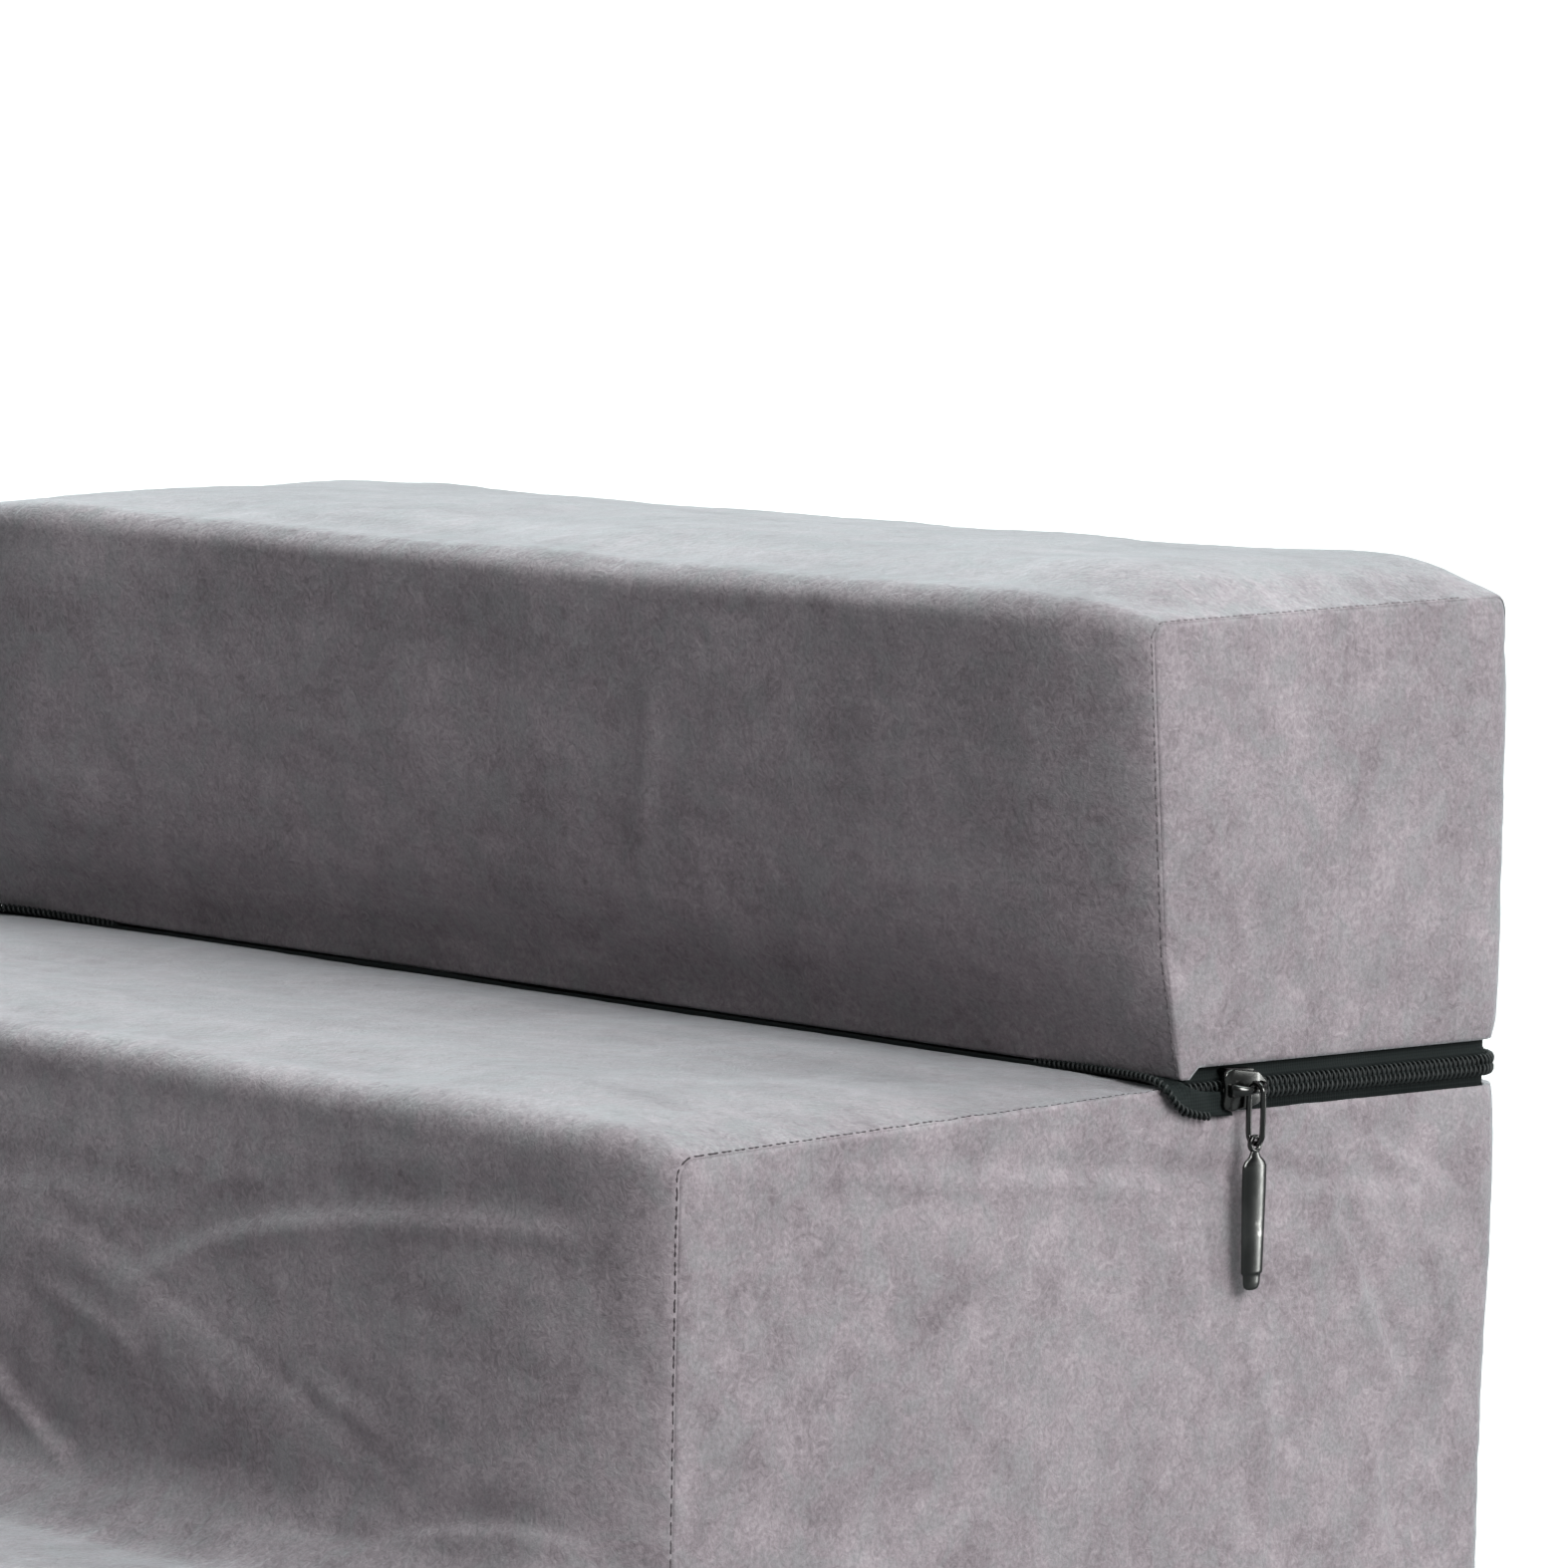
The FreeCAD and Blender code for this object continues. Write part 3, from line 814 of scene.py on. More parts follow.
def base_run_shape(p, s, gap):
    x, y, z = p.T
    m = filled(gap, 6.0)
    out = uneven(p, BASE_CLOTH, p, 3, 70.0, (0.35, 0.55, 0.10), 24) * m
    wide = 1 - (x / HW) ** 8
    broad = 1 - np.clip((np.abs(x) - HW + 40.0) / 40.0, 0, 1) ** 2
    riser = between(y, Y_MID - 14, Y_MID - 6, Y_MID + 5, Y_MID + 9)
    riser *= between(z, Z1 + 2, Z1 + 14, Z2 - 14, Z2 - 2)
    low = (1 - smoothstep(YF + 5, YF + 9, y)) * (1 - smoothstep(Z1 - 14, Z1 - 2, z))
    tread1 = between(y, YF + 6, YF + 25, Y_MID - 25, Y_MID - 8)
    tread2 = between(y, Y_MID + 8, Y_MID + 30, Y_HINGE - 30, Y_HINGE - 4)
    brow = smoothstep(Z2 - 8, Z2 - 1, z) * (1 - smoothstep(Y_MID + 10, Y_MID + 70, y))
    bow = 1 - 0.4 * (x / HW) ** 2 * smoothstep(Z1 + 20, Z1 + 55, z)
    bow *= belly(z, Z1 - 22, Z2 - 2) * smoothstep(Y_MID - 26, Y_MID - 9, y) * (y < Y_MID + 9)
    out += 5.6 * bow * broad
    out += 4.8 * belly(z, 3, Z1 - 3) * (y < YF + 9) * broad
    out += (1.3 * tread1 + 1.0 * tread2) * wide * m
    out += 2.2 * brow * (1 - (x / HW) ** 2)
    out += folds(x, z, RISER_FOLDS) * riser * m
    out += folds(x, y, TREAD_FOLDS) * tread2 * m
    out += folds(x, z, LOW_FOLDS) * low * m
    out += folds(x, y, LOW_TREAD_FOLDS) * tread1 * m
    out += pucker(s, gap, 7)
    # calm next to the crease and at the floor
    return out * (smoothstep(0, 10, s) * smoothstep(0, 9, s.max() - s))


def top_run_shape(p, s, gap):
    x, y, z = p.T
    m = filled(gap, 6.0)
    out = uneven(p, TOP_CLOTH, p, 13, 80.0, (0.35, 0.45, 0.09), 24) * m
    wide = 1 - (x / HW) ** 12
    broad = 1 - np.clip((np.abs(x) - HW + 32.0) / 32.0, 0, 1) ** 2
    face = between(z, Z2 + 4, Z2 + 20, Z3 - 16, Z3 - 3) * (1 - smoothstep(95, 110, y))
    flat = smoothstep(Z3 - 6, Z3 - 2, z) * between(y, 82, 104, YB - 14, YB - 3)
    out += 11.5 * belly(z, Z2 + 1, Z3 - 1, 24.0) * smoothstep(Z2 + 1, Z2 + 28, z) * (y < 100) * broad
    out += (1.6 + 1.3 * x / HW) * flat * wide * m
    out += 1.9 * between(x, 120, 166, HW - 15, HW - 1) * flat
    out -= 1.2 * smoothstep(Z3 - 8, Z3 - 2, z) * (1 - smoothstep(74, 96, y)) * (1 - (x / HW) ** 2)
    out += folds(x, z, FACE_FOLDS) * face * m
    out += folds(x, y, TOP_FOLDS) * flat * m
    out += pucker(s, gap, 17)
    end = s.max() - s
    return out * smoothstep(0, 7, s) * smoothstep(0, 6, end) - groove(end)


CREST_BASE, SEAM_BASE = profile(
    [(YF + 9, FOOT), (YF, FOOT, 5), (YF, Z1, 11), (Y_MID - 5.5, Z1 + 3, 22), (Y_MID - 5.5, Z2 + 1.2, 9),
     (Y_HINGE - 0.8, Z2, 1.4), (Y_HINGE - 0.8, Z2 - 3)],
    [(YF + 11, FOOT), (YF + 3, FOOT, 5), (YF + 3.4, Z1 - ROLL, 5), (Y_MID + 4, Z1 - ROLL, 12),
     (Y_MID + 4, Z2 - ROLL, 4), (Y_HINGE - 0.8, Z2 - 0.4, 1.4), (Y_HINGE - 0.8, Z2 - 3)])
BASE_RUN, GRID_B = strip("cover_base_run", CREST_BASE, SEAM_BASE, row_width(CREST_BASE, 20.0, 36.0),
                         base_run_shape, "base")

CREST_TOP, SEAM_TOP = profile(
    [(Y_HINGE + 2.4, Z2 + 1.0), (Y_HINGE - 0.1, Z2 + 1.0, 1.0), (Y_HINGE - 5.4, Z2 + 26, 120),
     (LEAN - 6.5, Z3 - 0.5, 6.5), (YB, Z3, 8), (YB, Z3 - 12)],
    [(Y_HINGE + 3.4, Z2 + 1.0), (Y_HINGE + 0.6, Z2 + 1.0, 1.0), (Y_HINGE - 4.6, Z2 + 26, 30),
     (LEAN + 3.6, Z3 - 6.4, 3.5), (YB, Z3 - 4, 8), (YB, Z3 - 14)])
TOP_RUN, GRID_T = strip("cover_top_run", CREST_TOP, SEAM_TOP, row_width(CREST_TOP, 46.0, 33.0),
                        top_run_shape, "top_block")
TOP_BACK_SEAM = float(GRID_T[-1][GRID_T.shape[1] // 2][2])


# ---- cover walls
def line(a, b, step=2.4):
    """Points from a up to, but not at, b."""
    a, b = np.array(a, float), np.array(b, float)
    n = max(1, int(round(np.linalg.norm(b - a) / step)))
    return [tuple(a + (b - a) * k / n) for k in range(n)]


def to_p(points):
    return [(plan_to_p(abs(x), y), z) for x, y, z in points]


def wall_shape(cloth, seed, level, shares, reach, table):
    """The rise of a side panel: a low crown, unevenness, creases, and puckers at its seams."""
    def shape(p, z, gap, pts):
        q = np.column_stack([p, z, np.full(len(p), level)])
        m = filled(gap, 7.0)
        out = uneven(q, cloth, pts, seed, 75.0, shares) * m - groove(gap) + 1.7 * filled(gap, reach)
        return out + folds(p + YF, z, table) * m + pucker(p + z, gap, seed + 4)
    return shape


def base_side_loop(s):
    """Up the back seam, along the hem, and down the strip's sewn edge to the floor."""
    foot, hem, crease = (P_SEAM, FOOT), (P_SEAM, HEM_LOW), (P_HINGE + 1.5, HEM_LOW)
    loop = line(foot, hem) + line(hem, crease) + line(crease, (P_HINGE + 0.4, Z2 - 1.2), 1.5)
    sewn = [q for q in to_p(GRID_B[:, -1 if s > 0 else 0]) if q[1] > 0.5][::-1]
    loop += [q for q in sewn if q[0] < P_HINGE + 0.3 and not (q[1] < Z2 - 1.5 and q[0] > P_HINGE - 3)]
    return loop + line(loop[-1], foot)[1:]


def top_side_loop(s):
    """Up the strip's sewn edge, along its back edge, down the back seam and along the hem."""
    sewn = [q for q in to_p(GRID_T[:, -1 if s > 0 else 0]) if q[1] > Z2 + 0.9]
    behind = sorted(q for q in to_p(GRID_T[-1][GRID_T[-1][:, 0] * s > 0]) if q[0] < P_SEAM - 0.8)[1:]
    top, hem, crease = (P_SEAM, TOP_BACK_SEAM), (P_SEAM, HEM_HIGH), (P_HINGE + 6.0, HEM_HIGH)
    loop = [q for q in sewn if q[0] >= LEAN - YF] + behind
    loop += line(top, hem) + line(hem, crease) + line(crease, sewn[0], 1.6)
    clean = loop[:1]
    for q in loop[1:]:
        if math.dist(q, clean[-1]) > 0.25:
            clean.append(q)
    return clean


WALLS = []
BASE_WALL = wall_shape(BASE_CLOTH, 23, 40.0, (0.35, 0.5, 0.1), 30.0, SIDE_FOLDS)
TOP_WALL = wall_shape(TOP_CLOTH, 33, 90.0, (0.3, 0.42, 0.1), 26.0, [])
for side, s in SIDES:
    for part, loop, step, shape, body in (("base", base_side_loop(s), 2.1, BASE_WALL, "base"),
                                          ("top", top_side_loop(s), 2.6, TOP_WALL, "top_block")):
        WALLS.append(wall("cover_%s_side_%s" % (part, side), loop, step, shape, s < 0, body))
        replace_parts(WALLS[-1], "%s_side_panel_%s" % (part, side))
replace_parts(BASE_RUN, "base_front_run")
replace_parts(TOP_RUN, "top_wrap_panel")


def back_panel(name, z0, z1, body, cloth, seed, node, step=2.6):
    """The panel across the back, between the two upright seams."""
    inset = np.array([0.0, *NEXT_ROWS])
    zs = np.concatenate([z0 + inset, np.linspace(z0 + 3.5, z1 - 3.5, int((z1 - z0) / step)),
                         z1 - inset[::-1]])
    xs = np.linspace(-SEAM_X, SEAM_X, int(2 * SEAM_X / step) + 1)
    xs = np.concatenate([inset - SEAM_X, xs[np.abs(xs) < SEAM_X - 3], SEAM_X - inset[::-1]])
    x, z = (v.ravel() for v in np.meshgrid(xs, zs))
    gap = np.minimum(np.minimum(SEAM_X - np.abs(x), z - z0), z1 - z)
    q = np.column_stack([x, np.full(len(x), seed * 13.0), z])
    m = filled(gap, 7.0)
    pts = np.column_stack([x, np.full(len(x), YB), z])
    rise = uneven(q, cloth, pts, seed, 80.0, (0.4, 0.5, 0.1)) * m - groove(gap) + 1.8 * filled(gap, 30.0)
    rise += folds(x, z, BACK_FOLDS) * m + pucker(x + z, gap, seed + 3)
    faces = grid_faces(len(zs), len(xs))[:, [0, 3, 2, 1]]
    ob = new_mesh(name, np.column_stack([x, YB + rise, z]), faces, body, PLUSH, "cover_plush")
    thicken(ob, CLOTH)
    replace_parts(ob, node)


back_panel("cover_base_back", FOOT, HEM_LOW, "base", BASE_CLOTH, 43, "base_back_panel")
back_panel("cover_top_back", HEM_HIGH, TOP_BACK_SEAM, "top_block", TOP_CLOTH, 53, "top_back_panel")


# ---- foam
ZIP_ROOM = 12.0  # bevel of the foam beside the zip


def foam_block(name, node, body, seed, bevel_low=0.0, bevel_high=0.0, lean=0.0):
    """A soft-edged block; the bevels make room for the zip, and the front may lean out."""
    margin, step, r = 2.4, 9.0, 13.0
    at_zip = 2.2  # how much of its margin a face beside the zip gives up
    lo, hi = (np.array(corner) for corner in box_mm(node))
    lo, hi = lo + margin, hi - margin
    lo[2] -= at_zip if bevel_low else 0
    hi[2] += at_zip if bevel_high else 0
    n = [max(2, int((h - l) / step)) for l, h in zip(lo, hi)]
    verts, faces = {}, []
    for a in range(3):
        b, c = (a + 1) % 3, (a + 2) % 3
        for end in (0, n[a]):
            for i in range(n[b]):
                for j in range(n[c]):
                    quad = []
                    for u, v in ((i, j), (i + 1, j), (i + 1, j + 1), (i, j + 1)):
                        key = [end] * 3
                        key[b], key[c] = u, v
                        quad.append(verts.setdefault(tuple(key), len(verts)))
                    faces.append(quad if end else quad[::-1])
    pts = lo + (hi - lo) * np.array(list(verts), float) / np.array(n)
    core = np.clip(pts, lo + r, hi - r)
    d = pts - core
    ln = np.linalg.norm(d, axis=1, keepdims=True)
    pts = core + d * np.abs(d).max(1, keepdims=True) / np.maximum(ln, 1e-9)
    inset = np.maximum(0, bevel_low - (pts[:, 2] - lo[2])) + np.maximum(0, bevel_high - (hi[2] - pts[:, 2]))
    pts[:, 0] = np.sign(pts[:, 0]) * np.minimum(np.abs(pts[:, 0]), hi[0] - inset)
    pts[:, 1] = np.minimum(pts[:, 1], hi[1] - inset)
    if lean:
        front = Y_HINGE + T + 5.2 - lean * (pts[:, 2] - Z2) / (Z3 - Z2)
        pts[:, 1] = front + (pts[:, 1] - lo[1]) * (hi[1] - front) / (hi[1] - lo[1])
    pts += 0.12 * np.column_stack([waves(pts, 14.0, 12, seed + i) for i in range(3)])
    ob = new_mesh(name, pts, faces, body, FOAM, "foam")
    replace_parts(ob, node)


foam_block("foam_lower", "base_foam_lower", "base", 61)
foam_block("foam_upper", "base_foam_upper", "base", 64, bevel_high=ZIP_ROOM)
foam_block("foam_top", "top_foam", "top_block", 67, bevel_low=ZIP_ROOM, lean=OVERHANG)


# ---- bottom cloth
def bottom():
    """The cloth under the base, with staggered rows of rubber dots."""
    x, y0, y1 = HW - 1, YF + 1, YB - 1
    v, f = plate(round_loop([(-x, y0, 4), (x, y0, 4), (x, y1, 9), (-x, y1, 9)]), [], 1.45, 0.45, 0.25)
    cloth = fix_normals(new_mesh("bottom_cloth", v, f, "base", BOTTOM, "base_cloth"))
    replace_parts(cloth, "base_bottom_panel")
    ring, pitch, count = angles(8), 9.0, 20
    rows = [(r * np.cos(ring), r * np.sin(ring), z) for r, z in ((0.9, 0.1), (1.6, 0.4), (1.9, 1.05))]
    faces = [(0, 1 + (k + 1) % 8, 1 + k) for k in range(8)] + ring_faces(3, 8, 1)
    dots = []
    for i in range(-count, count + 1):
        for j in range(-count, count + 1):
            cx, cy = i * pitch + (pitch / 2 if j % 2 else 0), j * pitch
            if max(abs(cx), abs(cy)) <= HW - 7:
                pts = [np.column_stack([cx + a, cy + b, np.full(8, z)]) for a, b, z in rows]
                dots.append((np.concatenate([[(cx, cy, 0.05)]] + pts), faces))
    new_mesh("grip_dots", *join(dots), "base", DOTS, "base_cloth")


bottom()


# ---- zip
Q_END = P_MID - P_HINGE
PITCH = 1.45  # one turn of the coil


def u_path(q, w):
    """Points on the U round right side, back and left, pushed out by w; q is 0 mid-back."""
    x, y, nx, ny = p_to_plan(P_MID - np.abs(q))
    return np.column_stack([np.where(q >= 0, 1.0, -1.0) * (x + nx * w), y + ny * w])


def tape(name, up, body, node):
    """Half the zip's cloth: a flat tape with a corded edge beside the coil."""
    reach, step = Q_END - 2.5, 2.5
    turn = np.linspace(HW - R_PLAN, HW - R_PLAN + ARC, 9)
    qs = np.unique(np.concatenate([np.append(np.arange(-reach, reach, step), reach), turn, -turn]))
    # (outwards, away from the chain)
    cord = [(0.0, 0.75), (0.25, 0.63), (0.95, 0.90), (1.15, 1.55), (0.95, 2.25), (0.62, 2.75)]
    section = cord + [(0.62, 8.7), (0.4, 9.0), (0.0, 9.0)]
    rows = np.stack([np.column_stack([u_path(qs, w - T - 0.8), np.full(len(qs), Z_CHAIN + up * z)])
                     for w, z in section], 1)
    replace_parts(fix_normals(new_mesh(name, *loft(rows), body, TAPE, "zip_cloth")), node)


def coil(name, up, body, node, per_turn=10):
    """One side's coil, wound along the U; the upper one is half a turn ahead."""
    reach, deep, tall = Q_END - 2.6, 0.80, 1.15
    t = np.arange(int(2 * reach / PITCH) * per_turn + 1) / per_turn
    q = np.clip(-reach + (t + (0.5 if up > 0 else 0.0)) * PITCH, -reach, reach)
    path = np.column_stack([u_path(q, -0.72 + deep * np.sin(TAU * t)),
                            Z_CHAIN - 0.5 + up * (0.95 - tall * np.cos(TAU * t))])
    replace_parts(new_mesh(name, *tube(path, 0.31, 6), body, COIL, "zip_coil"), node)


tape("zip_tape_low", -1, "base", "zip_tape_lower")
tape("zip_tape_high", 1, "top_block", "zip_tape_upper")
coil("zip_coil_low", -1, "base", "zip_coil_lower")
coil("zip_coil_high", 1, "top_block", "zip_coil_upper")


def ribbon(name, a, b, n=26, across=7):
    """A thin cloth ribbon between two smooth edges, the points given in order."""
    edges = []
    for pts in (a, b):
        pts = np.array(smooth_line(pts))
        d = path_lengths(pts)
        edges.append(points_at(np.linspace(0, d[-1], n), d, pts)[:, None])
    t = np.linspace(0, 1, across)[None, :, None]
    grid = edges[0] * (1 - t) + edges[1] * t
    ob = new_mesh(name, grid.reshape(-1, 3), grid_faces(n, across), "base", TAPE, "zip_cloth")
    put(ob.modifiers.new("thick", "SOLIDIFY"), thickness=0.7 * MM, offset=0.0)
    bake(ob)
    return ob


def squash(piece):
    """Gives the piece its own copy of its mesh."""
    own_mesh(piece)


def zip_end(side, s):
    """The folded end of the tapes, and the coil's tail that lies on it and turns down."""
    a = [(148, 90.6, 200.6), (184, 90.6, 201.2), (190.6, 90.8, 200.6), (191.5, 93, 198.8),
         (190.2, 103, 198.0)]
    b = [(148, 90.1, 200.6), (162, 88.9, 201.1), (175, 87.0, 201.5), (186.5, 85.2, 201.6),
         (191.4, 84.8, 200.4), (192.2, 86.0, 197.4), (191.9, 90, 194.8), (191.4, 97, 193.4),
         (190.5, 105, 193.0)]
    a, b = ([(s * x, y, z) for x, y, z in edge] for edge in (a, b))
    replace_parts(ribbon("zip_end_" + side, a, b), "zip_end_flap_" + side)
    edge = np.array(smooth_line(b))
    if s > 0:
        edge = edge[:int(len(edge) * 0.86)]        # stops short of the slider
    d = path_lengths(edge)
    pitch, per_turn, radius, wire = 1.5, 9, 0.72, 0.3
    turns = int(d[-1] / pitch)
    n = turns * per_turn
    t = np.linspace(0, 1, n)
    axis = points_at(t * d[-1], d, edge)
    axis = np.array([0.5 * (axis[max(i - 6, 0)] + axis[min(i + 6, n - 1)]) for i in range(n)])
    helix = np.array([q + radius * (math.cos(TAU * turns * u) * n1 + math.sin(TAU * turns * u) * n2)
                      for q, u, (n1, n2) in zip(axis, t, frames_along(axis))])
    # in front of the crease the tail lies flat, and where it turns down it's a piece of its own
    down = next(i for i in range(n // 3, n) if axis[i][2] < Z2 + 0.5)
    for name, bit in (("zip_tail_", helix[down:]), ("zip_tail_front_", helix[:down + 1])):
        tail = new_mesh(name + side, *tube(bit, wire, 6), "base", COIL, "zip_coil")
    squash(tail)


def crease_shade_bead():
    """Dark piping sewn into the crease, a little uneven; its near-black tape also paints the crease's shade
    as a black line.
    """
    n, reach = 150, 186
    path = np.column_stack([np.linspace(-reach, reach, n), np.full(n, Y_HINGE - 0.5), np.full(n, Z2 + 0.05)])
    path[:, 2] += 0.25 * waves(path, 60, 8, 71)
    # the near-black tape colour here is partly painted shade: it darkens the crease as its shadow would
    bead = new_mesh("crease_shade_bead", *tube(path, 0.8, 8), "base", TAPE, "zip_cloth")
    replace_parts(bead, "hinge_bead")
    squash(bead)


for side, s in SIDES:
    zip_end(side, s)
crease_shade_bead()


# ---- slider, link and tab
def yz_place(q):
    """Plate coordinates (y, z, outward) to points on the right side."""
    return np.column_stack([q[:, 2], q[:, 0], q[:, 1]])


def metal_piece(name, parts, body, node):
    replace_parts(fix_normals(new_mesh(name, *join(parts), body, METAL, "pull_metal")), node)


def slider():
    """Outer plate with lips and a bail, inner plate, and the post between them."""
    y0, y1, zc = SLIDER_LO[1], SLIDER_HI[1], Z_CHAIN
    x_in, x_bail = SLIDER_LO[0], SLIDER_HI[0] - 0.75
    x_plate = x_bail - 3.0 - 1.2

    def level(rows, n, centre, half, bevel):
        """A plate from (y, height, radius) corners, their heights measured from the chain."""
        loop = round_loop([(y, zc + z, r) for y, z, r in rows], n)
        return plate(loop, [], centre, half, bevel, yz_place)

    def both(rows):
        """Corners below the chain, and the same ones above it."""
        return rows + [(y, -z, r) for y, z, r in rows[::-1]]

    outer = both([(y0 + 0.2, -3.6, 1.5), (y0 + 3.0, -4.4, 2.0), (y1 - 2.6, -3.4, 2.2), (y1, -1.2, 1.4)])
    inner = both([(y0 + 0.4, -3.2, 1.2), (y1 - 0.4, -2.6, 1.6)])
    post = both([(y0 + 0.6, -0.42, 0.2), (y0 + 4.2, -0.3, 0.2)])
    parts = [level(outer + [(y0 + 1.0, 0, 1.6)], 5, x_plate + 0.6, 0.6, 0.35)]
    for sg in (-1, 1):
        lip = [(y0 + 2.4, sg * 3.95, -0.35), (y1 - 3.4, sg * 3.6, -0.35),
               (y1 - 3.4, sg * 3.6, 0.35), (y0 + 2.4, sg * 3.95, 0.35)]
        parts.append(level([(y, mid + half, 0.2) for y, mid, half in lip], 3, x_plate - 1.1, 1.5, 0.15))
    parts.append(level(inner, 4, x_in + 0.6, 0.55, 0.25))
    parts.append(level(post, 3, (x_in + x_plate) / 2 + 0.6, (x_plate - x_in) / 2, 0.1))
    n = 33
    t, ring = np.linspace(0, 1, n), angles(12)
    arch = np.column_stack([x_plate + 1.0 + (x_bail - x_plate - 1.0) * np.sin(np.pi * t) ** 0.38,
                            Y_SLIDER - 4.7 + 9.4 * t, np.full(n, zc)])
    tan = unit(np.gradient(arch, axis=0))
    rows = [q + np.outer(np.cos(ring) * 0.62, [d[1], -d[0], 0.0])
            + np.outer(np.sin(ring) * (0.72 + 0.75 * abs(2 * u - 1) ** 2), [0, 0, 1.0])
            for q, u, d in zip(arch, t, tan)]
    parts.append(loft(rows))
    metal_piece("zip_slider", parts, "zip_slider", "slider_body")


def wire_link():
    """A closed loop of wire, its two legs bowed out a little."""
    lo, hi = box_mm("pull_link")
    wire, ring = 0.6, angles(10)
    rad = (hi[0] - lo[0]) / 2 - wire
    z_hi, z_lo = hi[2] - wire - rad, lo[2] + wire + rad
    xc, yc = (lo[0] + hi[0]) / 2, (lo[1] + hi[1]) / 2
    loop = []
    for turn, z0, z1 in ((0.0, z_hi, z_lo), (math.pi, z_lo, z_hi)):
        for a in np.linspace(turn, turn + math.pi, 16):
            loop.append((xc + rad * math.cos(a), yc, z0 + rad * math.sin(a)))
        out = -1 if turn == 0 else 1
        for k in range(1, 6):
            bow = 0.12 * math.sin(math.pi * k / 6)
            loop.append((xc + out * (rad + bow), yc, z0 + (z1 - z0) * k / 6))
    loop, rows = np.array(loop), []
    for q, d in zip(loop, np.roll(loop, -1, 0) - np.roll(loop, 1, 0)):
        across = np.cross(unit(d), [0, 1.0, 0])
        rows.append(q + wire * (np.outer(np.cos(ring), across) + np.outer(np.sin(ring), [0, 1.0, 0])))
    metal_piece("pull_wire_link", [loft(rows, closed=True)], "zip_link", "pull_link")


def pull_tab():
    """A tapered tab with a waisted end, hung from a flat eye."""
    lo, hi = box_mm("pull_tab")
    xt, yt, tip = (lo[0] + hi[0]) / 2, (lo[1] + hi[1]) / 2, lo[2]
    eye_radius, hole_radius = 1.9, 1.0
    z_eye = hi[2] - eye_radius
    # height, half width and half thickness down the tab
    keys = np.array([[z_eye - 1.5, 1.15, 0.42], [z_eye - 2.6, 1.6, 0.50], [z_eye - 3.6, 2.9, 0.60],
                     [z_eye - 4.6, 3.45, 0.68], [z_eye - 9.0, 3.45, 0.70], [tip + 5.0, 3.05, 0.66],
                     [tip + 3.6, 3.0, 0.64], [tip + 3.1, 2.5, 0.50], [tip + 1.4, 2.4, 0.46],
                     [tip + 0.6, 2.1, 0.40], [tip + 0.15, 1.4, 0.30], [tip, 0.5, 0.12]])
    n, sides = 60, 28
    zs = np.interp(np.linspace(0, len(keys) - 1, n), np.arange(len(keys)), keys[:, 0])
    half_w, half_t = (np.interp(-zs, -keys[:, 0], keys[:, k]) for k in (1, 2))
    c, s = np.cos(angles(sides)), np.sin(angles(sides))
    ring_y, ring_x = np.sign(c) * np.abs(c) ** 0.8, np.sign(s) * np.abs(s) ** 0.9
    rows = [np.column_stack([xt + ring_x * t1, yt + ring_y * w1, np.full(sides, z1)])
            for z1, w1, t1 in zip(zs, half_w, half_t)]
    eye, hole = (np.column_stack([yt + r * np.cos(angles(24)), z_eye + r * np.sin(angles(24))])
                 for r in (eye_radius, hole_radius))
    parts = [loft(rows), plate(eye, [hole], xt, 0.5, 0.28, yz_place)]
    metal_piece("pull_tab_plate", parts, "zip_tab", "pull_tab")


slider()
wire_link()
pull_tab()


# ---- stitches
def stitches(name, path, normals, body, thread, radius=0.3, sink=0.06):
    """A row of short threads lying along a path."""
    d = path_lengths(path)
    lift = (np.sin(np.linspace(0, math.pi, 6)) * 0.32 - sink)[:, None]
    taper = radius * np.array([0.35, 0.9, 1.0, 1.0, 0.9, 0.35])
    parts = []
    for k in range(int(d[-1] / STITCH)):
        at = np.linspace((k + 0.14) * STITCH, (k + 0.86) * STITCH, 6)
        parts.append(tube(points_at(at, d, path) + points_at(at, d, normals) * lift, taper, 6))
    new_mesh(name, *join(parts), body, thread, "cover_plush")


def seam_rows(grid, s, inset, skip):
    """A line on the strip a set distance in from its sewn edge, with its normals."""
    pts, normals = [], []
    for i in range(skip, len(grid) - skip):
        row = grid[i] if s < 0 else grid[i][::-1]
        d = path_lengths(row)
        j = int(np.searchsorted(d, inset))
        pts.append(points_at([inset], d, row)[0])
        normals.append(unit(np.cross(grid[i + 1].mean(0) - grid[i - 1].mean(0), row[j] - row[j - 1]) * -s))
    return np.array(pts), np.array(normals)


for side, s in SIDES:
    stitches("stitch_base_" + side, *seam_rows(GRID_B, s, 0.75, 7), "base", THREAD)
    pts, normals = seam_rows(GRID_T, s, 0.75, 5)
    stitches("stitch_top_" + side, pts[:-14], normals[:-14], "top_block", THREAD_PALE)

# ---- stage, light and camera
bm = bmesh.new()
bmesh.ops.create_grid(bm, x_segments=40, y_segments=40, size=400.0)
me = bpy.data.meshes.new("floor")
bm.to_mesh(me)
bm.free()
m = Nodes("studio_floor")
grain = m.ramp(m.noise(30.0), (0.3, 0.90), (0.7, 0.92))
seen = m.node("LightPath", {}).outputs["Is Camera Ray"]
me.materials.append(m.done(m.mix(seen, (0.145, 0.145, 0.15), grain), 0.9))
place("floor", me)

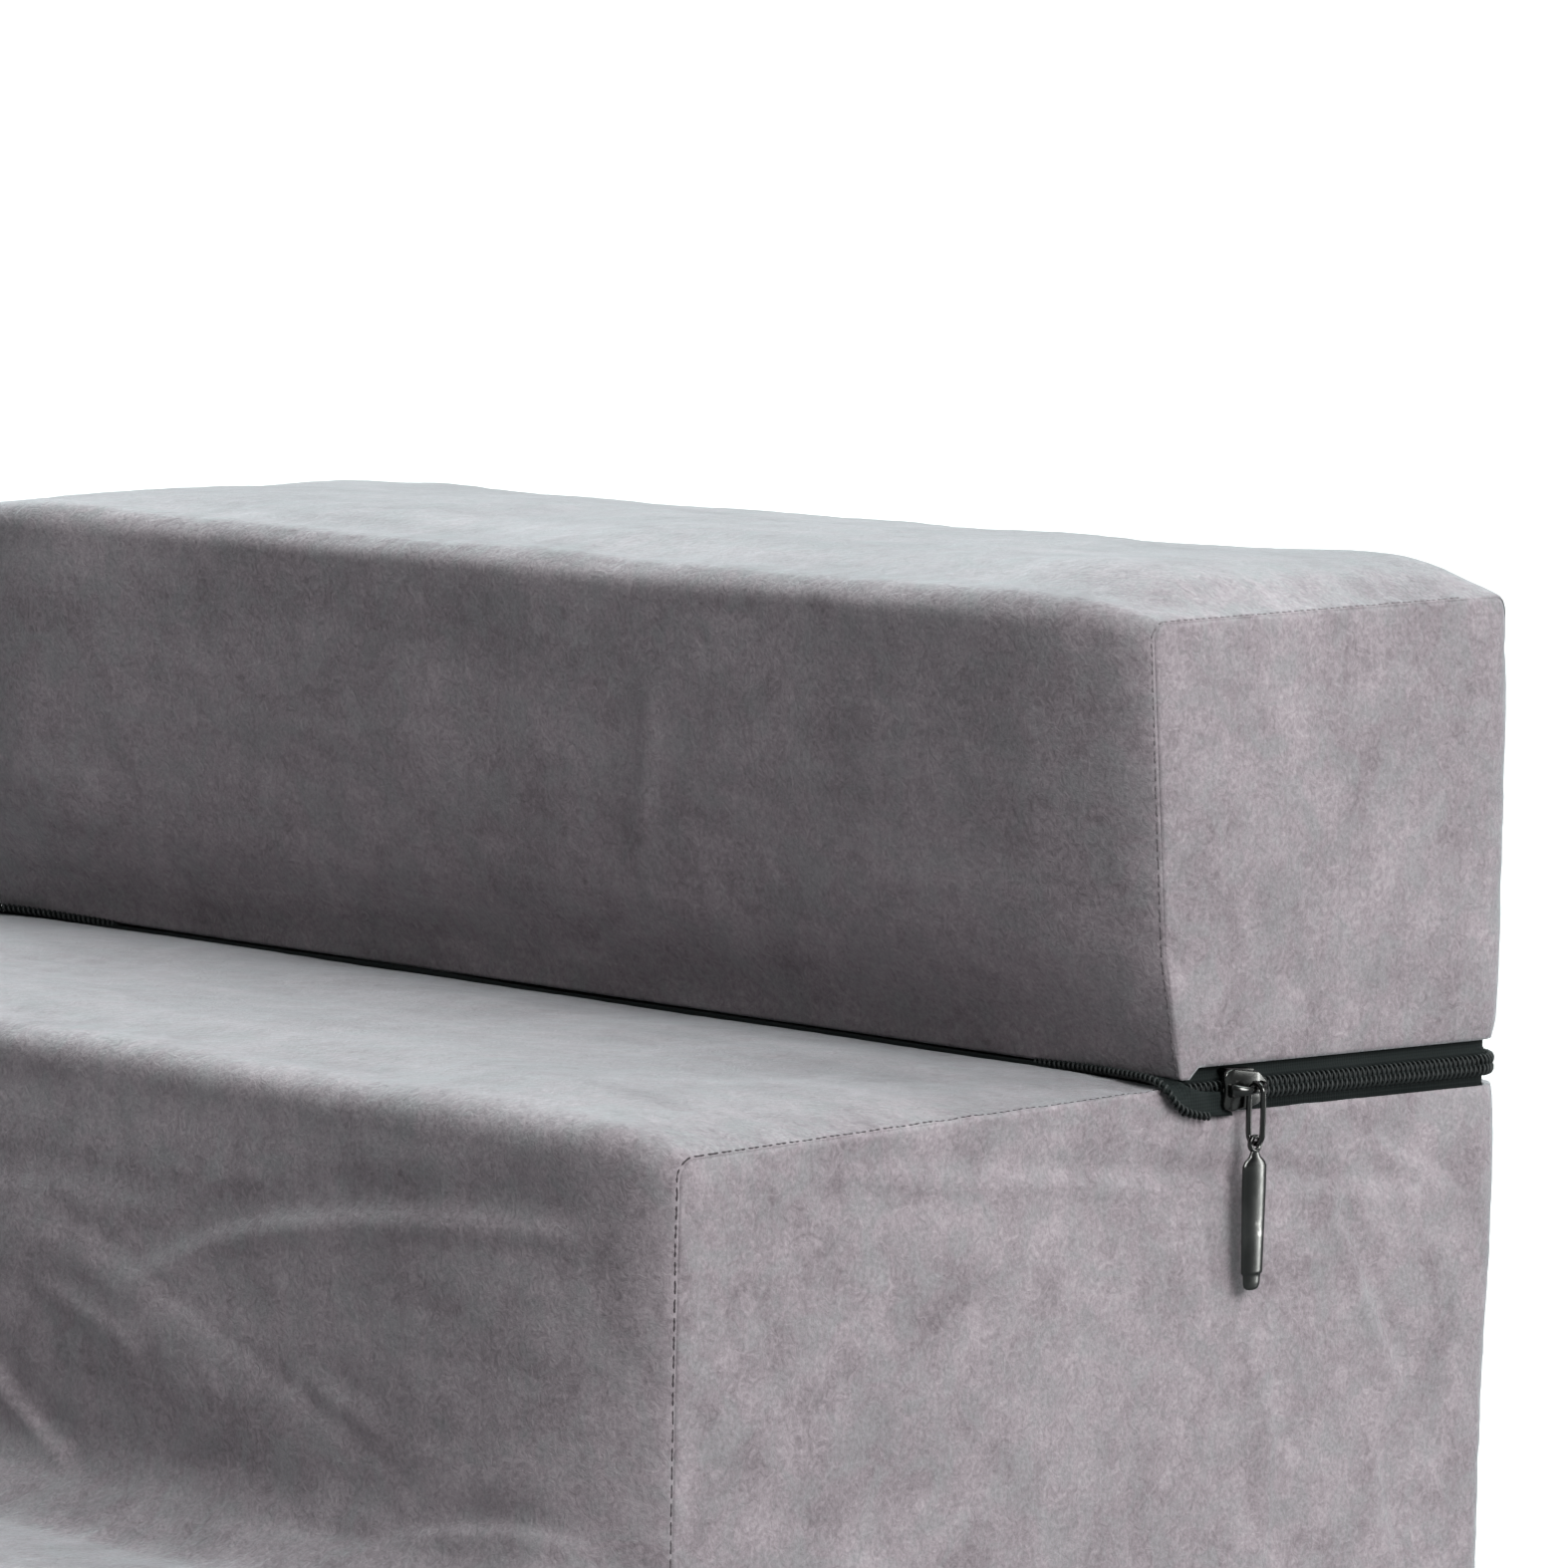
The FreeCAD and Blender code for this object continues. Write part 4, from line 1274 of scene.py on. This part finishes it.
world = put(bpy.data.worlds.new("studio"), use_nodes=True)
bpy.context.scene.world = world
nt = world.node_tree
bg = nt.nodes["Background"]
bg.inputs["Color"].default_value = (0.96, 0.98, 1.0, 1.0)
lp = nt.nodes.new("ShaderNodeLightPath")
mr = nt.nodes.new("ShaderNodeMapRange")
mr.inputs["To Min"].default_value = 0.15
mr.inputs["To Max"].default_value = 1.0
nt.links.new(lp.outputs["Is Camera Ray"], mr.inputs["Value"])
nt.links.new(mr.outputs["Result"], bg.inputs["Strength"])


def towards(direction):
    """The rotation of a lamp whose light comes from a direction."""
    return Vector(direction).to_track_quat("Z", "Y").to_euler()


for name, direction, strength, angle, color in (
        ("key", (0.86, -0.10, 0.50), 2.78, 32.0, (1.0, 0.99, 1.0)),
        ("overhead", (0.06, 0.18, 1.0), 1.94, 45.0, (0.90, 1.0, 0.985)),
        ("back", (-0.56, 0.58, 0.58), 2.75, 45.0, (0.88, 1.0, 0.99))):
    sun = put(bpy.data.lights.new(name, "SUN"), energy=strength, angle=math.radians(angle), color=color)
    place(name, sun).rotation_euler = towards(direction)

# a narrow soft card behind the zip, aimed at the pull
CARD, PULL = Vector((0.64, 0.77, 0.21)), Vector((0.196, 0.107, 0.17))
area = put(bpy.data.lights.new("card", "AREA"), shape="RECTANGLE", size=0.12, size_y=0.4, energy=1.7)
put(place("card", area), location=CARD, rotation_euler=towards(CARD - PULL), visible_camera=False)

AZIMUTH, ELEVATION, TILT = math.radians(46.7122), math.radians(5.2723), math.radians(1.2799)
level = math.cos(ELEVATION)
back = Vector((math.sin(AZIMUTH) * level, -math.cos(AZIMUTH) * level, math.sin(ELEVATION)))
right = (-back).cross(Vector((0, 0, 1))).normalized()
up = right.cross(-back)
across = right * math.cos(TILT) + up * math.sin(TILT)
upright = -right * math.sin(TILT) + up * math.cos(TILT)
cam = place("camera", put(bpy.data.cameras.new("camera"), sensor_width=36.0, lens=202.83, clip_start=0.05,
                          clip_end=1000.0))
cam.matrix_world = (Matrix.Translation((1.42204, -1.18182, 0.42265))
                    @ Matrix((across, upright, back)).transposed().to_4x4())
bpy.context.scene.camera = cam
bpy.context.scene.view_settings.view_transform = "Standard"
